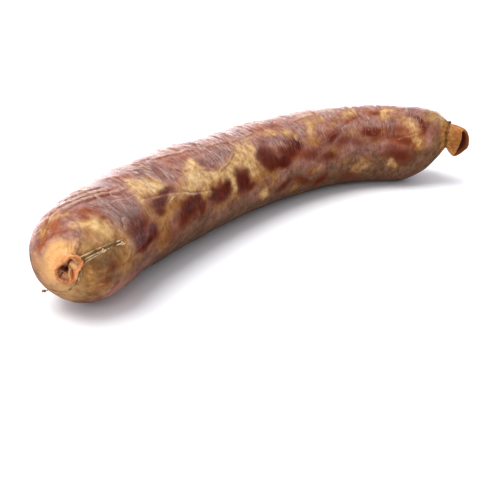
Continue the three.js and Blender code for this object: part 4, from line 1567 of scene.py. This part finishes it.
@dataclass
class EndTwine(LaidTwine):
    """The turn under the pucker's lip, the strands over the dome with two knots, and the loose end."""

    turn_height: float = 0.6
    turn_radius: float = 6.1
    turn_points: int = 14
    middle_knot: tuple[float, float] = (-22.9, 61)
    far_knot: tuple[float, float] = (-10.8, 68)
    loose_knot: tuple[float, float] = (-18.5, 228)
    upper_route: Route = (
        (-28.5, 44), (-27.6, 48), (-26.0, 51), (-23.9, 54), (-21.2, 57), (-18.5, 59), (-15.0, 62),
        (-11.5, 64), (-7.5, 66),
    )
    long_route: Route = (
        (-28.5, 57), (-27.2, 58), (-25.4, 59), (-22.9, 61), (-20.8, 63), (-18.0, 64), (-14.5, 66),
        (-11.0, 68),
    )
    short_route: Route = ((-28.4, 65), (-27.6, 63.5), (-26.5, 63), (-25.1, 62.6), (-23.1, 61.5))
    lower_route: Route = ((-28.7, 160), (-27.7, 183), (-25.7, 199), (-24.1, 213), (-22.2, 223))

    def turn(self, start_deg: float, end_deg: float) -> Array:
        """A part of the turn round the pucker.

        Args:
            start_deg: the angle that it starts at.
            end_deg: the angle that it ends at.

        Returns:
            Points at even angles.
        """
        around = np.radians(np.linspace(start_deg, end_deg, self.turn_points))
        along = np.full(self.turn_points, -self.skin.line.dome_length - self.turn_height)
        return self.skin.place(along, self.turn_radius * np.sin(around), self.turn_radius * np.cos(around))

    def build(self) -> bpy.types.Object:
        """Lay all strands, knots and frayed ends and join them.

        Returns:
            The piece.
        """
        turn = self.turn(8, 178)
        middle = self.laid((self.middle_knot,), 0.8)[0]
        far = self.laid((self.far_knot,), 0.7)[0]
        loose = self.laid((self.loose_knot,), 2.0)[0]
        upward = self.skin.axes(-23.4, 61)[3]
        paths = [turn]
        # each strand leaves the turn between two angles and runs on at its own height over the skin
        for start_deg, end_deg, route, lift in (
            (26, 34, self.upper_route, 0.5),
            (44, 54, self.long_route, 0.6),
            (60, 68, self.short_route, 0.5),
            (112, 134, self.lower_route, 0.12),
        ):
            paths.append(np.concatenate([self.turn(start_deg, end_deg)[[0, -1]], self.laid(route, lift)]))
        paths[-1] = low_path = np.concatenate([paths[-1], [loose]])
        parts = [self.strand(self.spline(path)) for path in paths]
        parts.append(self.knot(middle, 0.95, upward))
        parts.append(self.knot(far, 0.85, upward))
        parts.append(self.fray((middle + far) / 2, middle - far, 9, 5, 2.2))
        parts.append(self.fray(far, far - middle, 5))
        parts.append(self.fray(middle, middle - turn[6], 6, 4, 1.8))
        parts.append(self.knot(loose, 0.95, np.array([0.3, 0.2, 1.0])))
        parts.append(self.fray(loose, loose - low_path[-2], 8, 5, 1.6))
        return new_mesh("twine_at_pucker", *self.joined(parts))


@dataclass
class NeckTwine(LaidTwine):
    """The turn of twine drawn tight in the neck's groove, with its knot on top."""

    neck_along: float = 372.3
    turn_radius: float = 10.2

    def build(self) -> bpy.types.Object:
        """Two turns side by side, each a little out of round, a knot and its cut ends.

        Returns:
            The piece.
        """
        around = np.radians(np.linspace(0, 360, 60))
        offsets = 0.42 * np.sin(around / 2 + 0.4)
        wobble = self.turn_radius + 0.15 * np.cos(5 * around)
        parts = []
        for side in (-1, 1):
            along = self.neck_along + 0.3 * side + 0 * around
            path = self.skin.place(along, wobble * np.sin(around), wobble * np.cos(around), side * offsets)
            parts.append(self.strand(self.spline(path[:-1], closed=True)))
        knot_place = np.array([[self.neck_along], [0.6], [self.turn_radius + 0.9]])
        top = self.skin.place(*knot_place)[0]
        parts.append(self.knot(top, 1.1, np.array([0.2, 0.1, 1.0])))
        parts.append(self.fray(top, np.array([0.5, -0.4, 0.7]), 11, 5, 1.6))
        return new_mesh("twine_at_neck", *self.joined(parts))


# ------------------------------------------------------------------ finishes


@dataclass(frozen=True)
class Grain:
    """One noise in the casing: the size of its cells on the real skin, and how rough it is."""

    cell_mm: float
    detail: float
    roughness: float
    shift: float = 0.0  # picks another stretch of the same noise
    askew: bool = False  # drawn out along the gut's fibres

    def settings(self) -> dict[str | int, Any]:
        """Settings of its noise node; the scale is in cells to the metre."""
        kind = {"noise_dimensions": "4D", "Detail": self.detail, "Roughness": self.roughness}
        return kind | {"W": self.shift, "Scale": 1000.0 / self.cell_mm}


GRAINS: dict[str, Grain] = {
    "broad": Grain(18.1818, 3.0, 0.55),  # stretches where more fat lies under the casing
    "blot": Grain(8.33333, 6.0, 0.66),  # clots and lumps in the filling
    "cloud": Grain(4.7619, 5.0, 0.6, 7.0),  # pieces of ground meat
    "fleck": Grain(2.5, 4.0, 0.62, 3.0),  # crumbs of fat and meat
    "speck": Grain(1.25, 4.0, 0.6),  # pores, drawn about twice as coarse to show
    "fibre": Grain(1.11111, 4.0, 0.62, askew=True),  # gut fibres, about 0.6 mm wide and 6 mm long
    "fold": Grain(4.0, 2.0, 0.5, 5.0, askew=True),  # folds pulled tight across the top, bumped and painted as highlight streaks
    "shown": Grain(22.2222, 2.0, 0.5, 9.0),  # where those folds show
}

# The film's hairlines: size of their cells in mm, the noise between which they come to show, a shift
HAIRLINES: tuple[tuple[float, float, float, float], ...] = ((14.2857, 0.45, 0.62, 0.0), (6.66667, 0.5, 0.68, 3.0))

# Noise weights: the ground meat's own mottling, and what frays the edges of the patches
MEAT_WEIGHTS = {"blot": 0.5, "cloud": 0.9, "fleck": 0.6}
EDGE_WEIGHTS = {"blot": 1.3, "cloud": 0.8, "fleck": 0.5, "fibre": 0.22, "speck": 0.15}

# The meat, from its ground colour up: colour, grain, where it begins, where it is full, strength
MEAT_WASHES: tuple[tuple[str, str, float, float, float], ...] = (
    ("red_brown", "blot", 0.43, 0.31, 0.6),
    ("fatty", "broad", 0.52, 0.66, 0.5),
    ("mauve", "broad", 0.48, 0.36, 0.45),
    ("red_brown", "fleck", 0.42, 0.32, 0.3),
    ("fleck_pale", "fleck", 0.56, 0.7, 0.4),
    ("red_brown", "fibre", 0.58, 0.76, 0.22),
)

# The tones over it: tone, colour, noise at its edge, half width of the edge, where it lies, strength
TONE_LAYERS: tuple[tuple[Tone, str, float, float, float, float], ...] = (
    (Tone.OLIVE, "olive", 0.5, 0.55, 0.5, 0.95),
    (Tone.MAUVE, "mauve", 0.55, 0.6, 0.5, 0.85),
    (Tone.RUST, "rust", 0.55, 0.55, 0.5, 0.92),
    # brown: smudges, and painted shade along the low flank
    (Tone.BROWN, "brown", 0.5, 0.6, 0.5, 0.97),
    (Tone.OCHRE, "ochre", 0.55, 0.55, 0.5, 0.95),
    (Tone.FAT, "thin_fat", 0.75, 0.6, 0.42, 0.85),
    (Tone.MAROON, "red_brown", 0.6, 0.5, 0.4, 0.95),
    (Tone.FAT, "fat", 0.7, 0.6, 0.68, 0.97),
    (Tone.MAROON, "clot", 0.5, 0.5, 0.74, 1.0),
    (Tone.PEACH, "peach", 0.4, 0.5, 0.5, 0.97),
    (Tone.LIP, "orange", 0.3, 0.5, 0.5, 0.9),
    # painted shade of holes, gaps, grooves and the tail's mouth
    (Tone.HOLLOW_SHADE, "hollow", 0.2, 0.5, 0.5, 0.95),
    # painted shade in the crease grooves, then painted highlight on the crease lips
    (Tone.CREASE, "red_brown", 0.7, 0.5, 0.55, 0.6),
    (Tone.RIDGE_HIGHLIGHT, "film", 0.8, 0.5, 0.6, 0.5),
)


@dataclass(frozen=True)
class NaturalCasing:
    """Natural casing: cleaned gut, filled, cooked and still moist, over a blood filling.

    Gut dries to a thin, clear, glossy film, so the eye sees the mottled filling through it: dark clots
    with soft edges, yellow fat, brown meat. Tight folds of the film catch the light: their fine pale lines,
    and the pale lips of the creases, are painted highlights in the colour. Painted shade darkens the creases'
    grooves, the hollows and the low flank. The gloss is a clear coat; what lies under it is nearly matt.
    """

    rosy: str = "#BB8877"
    rosy_deep: str = "#895042"
    mauve: str = "#987068"
    mauve_deep: str = "#744A41"
    rust: str = "#A2562F"
    rust_deep: str = "#84371A"
    maroon: str = "#420F05"
    red_brown: str = "#6C240C"
    # brown: colour of smudges, and of the painted shade along the low flank and underside
    brown: str = "#7E5C44"
    brown_deep: str = "#543624"
    olive: str = "#B88F53"
    olive_deep: str = "#8C6638"
    ochre: str = "#B67F40"
    ochre_deep: str = "#8A5424"
    fatty: str = "#B67F40"
    thin_fat: str = "#A06636"
    fat: str = "#C2904A"
    fat_core: str = "#EDC68C"
    peach: str = "#E6B272"
    orange: str = "#E59E66"
    orange_deep: str = "#BE6A3C"
    # colour of the painted shade in holes, gaps, grooves and the tail's mouth
    hollow: str = "#4A1C14"
    # colour of the painted highlights: crease lips, folds across the top and hairlines
    film: str = "#E3C3AC"
    fleck_pale: str = "#C2946C"

    def material(self) -> bpy.types.Material:
        """The mottled film, built up tone by tone; every tone's edge is frayed by noise.

        Returns:
            The material.
        """
        material = bpy.data.materials.new("natural_sausage_casing")
        material.use_nodes = True
        tree = material.node_tree
        tree.nodes.clear()
        place = add_node(tree, "Attribute", {"attribute_name": "skin_place"}).outputs["Vector"]
        # the gut's fibres lie askew round the girth
        askew = {"Rotation": (0.0, 0.0, np.radians(-24.0)), "Scale": (1.0, 0.18, 0.18)}
        lean = add_node(tree, "Mapping", askew, {"Vector": place}).outputs[0]
        grain = {}
        for name, one in GRAINS.items():
            source = {"Vector": lean if one.askew else place}
            grain[name] = add_node(tree, "TexNoise", one.settings(), source).outputs["Fac"]
        folds, crumples = self.folds(tree, grain, place), self.crumples(tree, lean)
        colour = self.mottling(tree, grain)
        # painted highlights: faint pale hairlines, and pale streaks on the folds across the top
        for lines, most in ((crumples, 0.03), (folds, 0.55)):
            colour = self.wash(tree, colour, self.film, lines, 0.0, 1.0, most, "LINEAR")
        reliefs = (  # height, its distance in metres, strength
            (grain["cloud"], 0.0009, 0.5),
            (grain["fibre"], 0.0005, 0.6),
            (grain["speck"], 0.0003, 0.4),
            (folds, 0.0009, 0.8),
            (crumples, 0.0002, 0.25),
        )
        normal: dict[str | int, Output] = {}
        for height, distance, strength in reliefs:
            settings = {"Strength": strength, "Distance": distance}
            bump = add_node(tree, "Bump", settings, {"Height": height} | normal)
            normal = {"Normal": bump.outputs[0]}
        matt = {"From Min": 0.3, "From Max": 0.7, "To Min": 0.28, "To Max": 0.5}
        roughness = add_node(tree, "MapRange", matt, {"Value": grain["cloud"]}).outputs[0]
        gloss = {
            "IOR": 1.38,
            "Specular IOR Level": 0.04,
            "Subsurface Weight": 0.06,
            "Subsurface Radius": (1.0, 0.35, 0.2),
            "Subsurface Scale": 0.002,
            "Coat Weight": 0.46,
            "Coat Roughness": 0.16,
            "Coat IOR": 1.36,
        }
        links = {"Base Color": colour, "Roughness": roughness, "Coat Normal": normal["Normal"]} | normal
        shader = add_node(tree, "BsdfPrincipled", gloss, links)
        add_node(tree, "OutputMaterial", links={"Surface": shader.outputs[0]})
        return material

    def mottling(self, tree: Tree, grain: dict[str, Output]) -> Output:
        """The filling's colour through the film: the meat's washes, then the layer of each tone, painted shade
        and painted highlight among them.

        Args:
            tree: the material's node tree.
            grain: the noises by name.

        Returns:
            The colour.
        """
        meat, edge = (self.weighted(tree, grain, weights) for weights in (MEAT_WEIGHTS, EDGE_WEIGHTS))
        palette: dict[str, Colour] = dict(vars(self))
        # each tone wanders between a deep and a pale kind of itself
        for name in ("mauve", "rust", "brown", "olive", "ochre", "orange"):
            palette[name] = self.wash(tree, palette[f"{name}_deep"], palette[name], meat, -0.2, 0.2)
        palette["clot"] = self.wash(tree, self.maroon, self.red_brown, grain["cloud"], 0.42, 0.7)
        palette["fat"] = self.wash(tree, self.fat, self.fat_core, grain["cloud"], 0.34, 0.62)
        palette["fat"] = self.wash(tree, palette["fat"], self.thin_fat, grain["fleck"], 0.46, 0.34, 0.5)
        colour = self.wash(tree, self.rosy_deep, self.rosy, meat, -0.22, 0.22)
        for name, value, low, high, most in MEAT_WASHES:
            colour = self.wash(tree, colour, palette[name], grain[value], low, high, most)
        for tone, name, jitter, half_edge, middle, most in TONE_LAYERS:
            mask = add_node(tree, "Attribute", {"attribute_name": tone.value}).outputs["Fac"]
            frayed = {"operation": "MULTIPLY_ADD", 1: jitter}
            pushed = add_node(tree, "Math", frayed, {0: edge, 2: mask}).outputs[0]
            # nothing of the tone where its mask is empty
            share = self.shared(tree, (pushed, middle - half_edge, middle + half_edge), (mask, 0.0, 0.25))
            colour = self.wash(tree, colour, palette[name], share, 0.0, 1.0, most, "LINEAR")
        return colour

    def folds(self, tree: Tree, grain: dict[str, Output], place: Output) -> Output:
        """Thin folds across the top: the middle values of stretched noise, where the skin faces up. They bump the
        skin, and in the colour they are painted highlight streaks.

        Args:
            tree: the material's node tree.
            grain: the noises by name.
            place: the straightened place on the skin, in metres.

        Returns:
            1 on a fold, 0 beside it.
        """
        aside = {"operation": "SUBTRACT", 1: 0.5}
        away = add_node(tree, "Math", aside, {0: grain["fold"]}).outputs[0]
        away = add_node(tree, "Math", {"operation": "ABSOLUTE"}, {0: away}).outputs[0]
        upward = add_node(tree, "SeparateXYZ", links={0: place}).outputs["Z"]
        return self.shared(tree, (away, 0.036, 0.0), (upward, 0.008, 0.03), (grain["shown"], 0.42, 0.6))

    def crumples(self, tree: Tree, lean: Output) -> Output:
        """Straight hairline folds, as in crumpled film: the borders of large and small cells, in part. They bump
        the skin and are painted faintly as highlight lines.

        Args:
            tree: the material's node tree.
            lean: the place along the gut's fibres.

        Returns:
            1 on a hairline, 0 beside it.
        """
        made = {}
        for number, (cell_mm, low, high, shift) in enumerate(HAIRLINES):
            moved = {"Location": (shift, shift, 0.0)}
            spot = add_node(tree, "Mapping", moved, {"Vector": lean}).outputs[0]
            cells = {"feature": "DISTANCE_TO_EDGE", "Scale": 1000.0 / cell_mm}
            border = add_node(tree, "TexVoronoi", cells, {"Vector": spot}).outputs["Distance"]
            patchy = Grain(1.25 * cell_mm, 2.0, 0.5).settings()
            shown = add_node(tree, "TexNoise", patchy, {"Vector": spot}).outputs["Fac"]
            made[number] = self.shared(tree, (border, 0.028, 0.0), (shown, low, high))
        return add_node(tree, "Math", {"operation": "MAXIMUM"}, made).outputs[0]

    def weighted(self, tree: Tree, grain: dict[str, Output], weights: dict[str, float]) -> Output:
        """Distances of several noises from one half, each times its weight, added up.

        Args:
            tree: the material's node tree.
            grain: the noises by name.
            weights: the weight of each noise taken.

        Returns:
            The sum, 0 in the mean.
        """
        settings, total = {2: -0.5 * sum(weights.values())}, {}
        for name, weight in weights.items():
            times = {"operation": "MULTIPLY_ADD", 1: weight} | settings
            term = add_node(tree, "Math", times, {0: grain[name]} | total)
            settings, total = {}, {2: term.outputs[0]}
        return total[2]

    def shared(self, tree: Tree, *rises: tuple[Output, float, float]) -> Output:
        """The product of several smooth rises from 0 to 1.

        Args:
            tree: the material's node tree.
            rises: each a value, where it begins to rise and where it is full.

        Returns:
            The product, 0 to 1.
        """
        product = None
        for value, low, high in rises:
            settings = {"interpolation_type": "SMOOTHSTEP", "From Min": low, "From Max": high}
            rise = add_node(tree, "MapRange", settings, {"Value": value}).outputs[0]
            if product is not None:
                both = {0: product, 1: rise}
                rise = add_node(tree, "Math", {"operation": "MULTIPLY"}, both).outputs[0]
            product = rise
        return product

    def wash(
        self,
        tree: Tree,
        under: Colour,
        over: Colour,
        value: Output,
        low: float,
        high: float,
        most: float = 1.0,
        rise: str = "SMOOTHSTEP",
    ) -> Output:
        """Lay one colour over another as a value rises.

        Args:
            tree: the material's node tree.
            under: the colour beneath, hex or an output.
            over: the colour on top, hex or an output.
            value: what decides how much of the upper colour shows.
            low: where the upper colour begins.
            high: where it is at its most.
            most: the largest share of the upper colour.
            rise: Blender's name of the curve from low to high.

        Returns:
            The mixed colour.
        """
        limits = {"interpolation_type": rise, "From Min": low, "From Max": high, "To Max": most}
        share = add_node(tree, "MapRange", limits, {"Value": value}).outputs[0]
        settings: dict[str | int, Any] = {"data_type": "RGBA"}
        links: dict[str | int, Output] = {0: share}
        for socket, colour in ((6, under), (7, over)):
            if isinstance(colour, str):
                settings[socket] = linear(colour)
            else:
                links[socket] = colour
        return add_node(tree, "Mix", settings, links).outputs[2]


@dataclass(frozen=True)
class CottonTwine:
    """Cotton kitchen twine, spun and plied, damp with meat juices.

    Spun cotton has no gloss of its own: it looks matt and fibrous, pale where it is clean and brown
    where it has soaked up juices. The fibres are drawn about 0.3 mm wide, ten times as coarse as real
    ones, so that they show.
    """

    pale: str = "#E2C497"
    stained: str = "#6B4A2C"
    name: str = "cotton_twine"
    stain_mm: float = 3.84615
    fibre_mm: float = 0.3125

    def material(self) -> bpy.types.Material:
        """Stains of broad noise in the colour, fibres of fine noise in the relief.

        Returns:
            The material.
        """
        material = bpy.data.materials.new(self.name)
        material.use_nodes = True
        tree = material.node_tree
        tree.nodes.clear()
        place = add_node(tree, "TexCoord").outputs["Object"]
        stain, fibre = (
            add_node(
                tree,
                "TexNoise",
                {"Scale": 1000.0 / size_mm, "Detail": detail, "Roughness": rough},
                {"Vector": place},
            ).outputs["Fac"]
            for size_mm, detail, rough in ((self.stain_mm, 4.0, 0.6), (self.fibre_mm, 2.0, 0.7))
        )
        limits = {"From Min": 0.38, "From Max": 0.62}
        share = add_node(tree, "MapRange", limits, {"Value": stain}).outputs[0]
        colours = {"data_type": "RGBA", 6: linear(self.stained), 7: linear(self.pale)}
        colour = add_node(tree, "Mix", colours, {0: share}).outputs[2]
        relief = {"Strength": 0.6, "Distance": 0.0002}
        bump = add_node(tree, "Bump", relief, {"Height": fibre}).outputs[0]
        matt = {"Roughness": 0.8, "IOR": 1.5, "Specular IOR Level": 0.15}
        links = {"Base Color": colour, "Normal": bump}
        shader = add_node(tree, "BsdfPrincipled", matt, links)
        add_node(tree, "OutputMaterial", links={"Surface": shader.outputs[0]})
        return material


# ------------------------------------------------------------------ studio


@dataclass
class Studio:
    """A pale floor, soft light and the camera at the photograph's viewing angle. Sizes in metres."""

    camera_place: tuple[float, float, float] = (-0.32439, -0.34997, 0.18286)
    camera_turn_deg: float = -42.0
    camera_pitch_deg: float = 23.6
    lens: float = 50.0
    floor_size: float = 8.0
    floor_drop: float = 0.0002
    floor_colour: tuple[float, ...] = (0.95, 0.95, 0.96, 1.0)
    floor_glow: tuple[float, ...] = (0.95, 0.96, 1.0, 1.0)
    key_from: tuple[float, float, float] = (-0.30, 0.14, 0.94)
    key_strength: float = 2.5
    key_spread_deg: float = 44.0
    backdrop_towards: tuple[float, float, float] = (0.669, 0.743, 0.0)
    fill_place: tuple[float, float, float] = (-1.05, -0.25, 0.5)
    fill_towards: tuple[float, float, float] = (-0.12, 0.0, 0.03)
    fill_size: float = 0.7
    fill_power: float = 2.2
    sky_tint: tuple[float, ...] = (0.95, 0.965, 1.03, 1.0)
    low_light: float = 0.06
    sky_light: float = 0.58
    backdrop_light: float = 5.6

    def floor(self) -> None:
        """A wide pale sheet under the sausage, kept out of its reflections."""
        half = self.floor_size / 2
        steps = np.linspace(-half, half, 5)
        x, y = (axis.ravel() for axis in np.meshgrid(steps, steps, indexing="ij"))
        ids = np.arange(25).reshape(5, 5)
        faces = np.stack([ids[:-1, :-1], ids[1:, :-1], ids[1:, 1:], ids[:-1, 1:]], -1).reshape(-1, 4)
        floor = new_mesh("floor", np.stack([x, y, 0 * x - self.floor_drop], -1) / MM, faces)
        # matt paper, which glows a little so that it stays pale in the picture
        material = bpy.data.materials.new("pale_paper")
        material.use_nodes = True
        inputs = material.node_tree.nodes["Principled BSDF"].inputs
        inputs["Base Color"].default_value = self.floor_colour
        inputs["Roughness"].default_value = 0.9
        inputs["Specular IOR Level"].default_value = 0.1
        inputs["Emission Color"].default_value = self.floor_glow
        inputs["Emission Strength"].default_value = 0.02
        floor.data.materials.append(material)
        floor.visible_glossy = False

    def key(self) -> None:
        """One wide soft lamp, high on the left: its shadow falls softly to the right."""
        lamp = bpy.data.lights.new("key", "SUN")
        lamp.energy = self.key_strength
        lamp.angle = np.radians(self.key_spread_deg)
        item = bpy.data.objects.new("key", lamp)
        item.rotation_euler = (-Vector(self.key_from)).to_track_quat("-Z", "Y").to_euler()
        bpy.context.scene.collection.objects.link(item)

    def fill(self) -> None:
        """A weak softbox that lights the rounded end from the left."""
        lamp = bpy.data.lights.new("fill", "AREA")
        lamp.shape = "SQUARE"
        lamp.size = self.fill_size
        lamp.energy = self.fill_power
        item = bpy.data.objects.new("fill", lamp)
        item.location = self.fill_place
        direction = Vector(self.fill_towards) - Vector(self.fill_place)
        item.rotation_euler = direction.to_track_quat("-Z", "Y").to_euler()
        item.visible_camera = False
        item.visible_glossy = False
        bpy.context.scene.collection.objects.link(item)

    def sky(self) -> None:
        """Surroundings: a bright backdrop behind, low over the horizon, a paler sky and a dim room in front.

        The strength is the low light, plus the sky's where the direction points up, plus the backdrop's
        where it points to the back and neither far up nor far down.
        """
        world = bpy.data.worlds.new("studio_sky")
        bpy.context.scene.world = world
        world.use_nodes = True
        tree = world.node_tree
        direction = add_node(tree, "TexCoord").outputs["Generated"]
        up = add_node(tree, "SeparateXYZ", links={0: direction}).outputs["Z"]
        facing = add_node(
            tree,
            "VectorMath",
            {"operation": "DOT_PRODUCT", 1: self.backdrop_towards},
            {0: direction},
        ).outputs["Value"]
        ranges = (
            (up, -0.15, 0.6, 0.0, self.sky_light),
            (facing, 0.45, 0.92, 0.0, self.backdrop_light),
            (up, 0.12, 0.5, 1.0, 0.0),
            (up, -0.36, -0.12, 0.0, 1.0),
        )
        sky, back, not_high, not_low = (
            add_node(
                tree,
                "MapRange",
                {"interpolation_type": "SMOOTHSTEP", "From Min": a, "From Max": b, "To Min": c, "To Max": d},
                {"Value": value},
            ).outputs[0]
            for value, a, b, c, d in ranges
        )
        band = add_node(tree, "Math", {"operation": "MULTIPLY"}, {0: not_high, 1: not_low}).outputs[0]
        total = add_node(tree, "Math", {"operation": "MULTIPLY_ADD"}, {0: back, 1: band, 2: sky}).outputs[0]
        total = add_node(tree, "Math", {"operation": "ADD", 1: self.low_light}, {0: total}).outputs[0]
        background = tree.nodes["Background"]
        background.inputs["Color"].default_value = self.sky_tint
        tree.links.new(total, background.inputs["Strength"])

    def camera(self) -> None:
        """The camera, without shift or blur."""
        camera_data = bpy.data.cameras.new("camera")
        camera_data.lens = self.lens
        camera_data.sensor_width = 36.0
        camera_data.clip_start = 0.01
        camera = bpy.data.objects.new("camera", camera_data)
        camera.location = self.camera_place
        camera.rotation_euler = (
            np.radians(90.0 - self.camera_pitch_deg),
            0.0,
            np.radians(self.camera_turn_deg),
        )
        bpy.context.scene.collection.objects.link(camera)
        bpy.context.scene.camera = camera

    def build(self) -> None:
        """Set floor, lights, sky and camera."""
        self.floor()
        self.key()
        self.fill()
        self.sky()
        self.camera()
        view = bpy.context.scene.view_settings
        view.view_transform = "Standard"
        view.look = "None"


# ------------------------------------------------------------------ assembly


def main() -> None:
    """Load the frame, build each piece and set up the studio."""
    logging.basicConfig(level=logging.INFO, format="%(name)s: %(message)s")
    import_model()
    skin = PlainSkin()
    casing = Casing(skin).build(SkinMap(skin))
    dress(casing, "casing", NaturalCasing().material(), "sausage")
    end_twine = EndTwine(casing=casing, skin=skin).build()
    dress(end_twine, "end_twine", CottonTwine().material(), "end_twine")
    neck_twine = NeckTwine(casing=casing, skin=skin).build()
    dark_twine = CottonTwine("#9A6C3C", "#634222", "stained_cotton_twine")
    dress(neck_twine, "neck_twine", dark_twine.material(), "neck_twine")
    Studio().build()


if __name__ == "__main__":
    main()
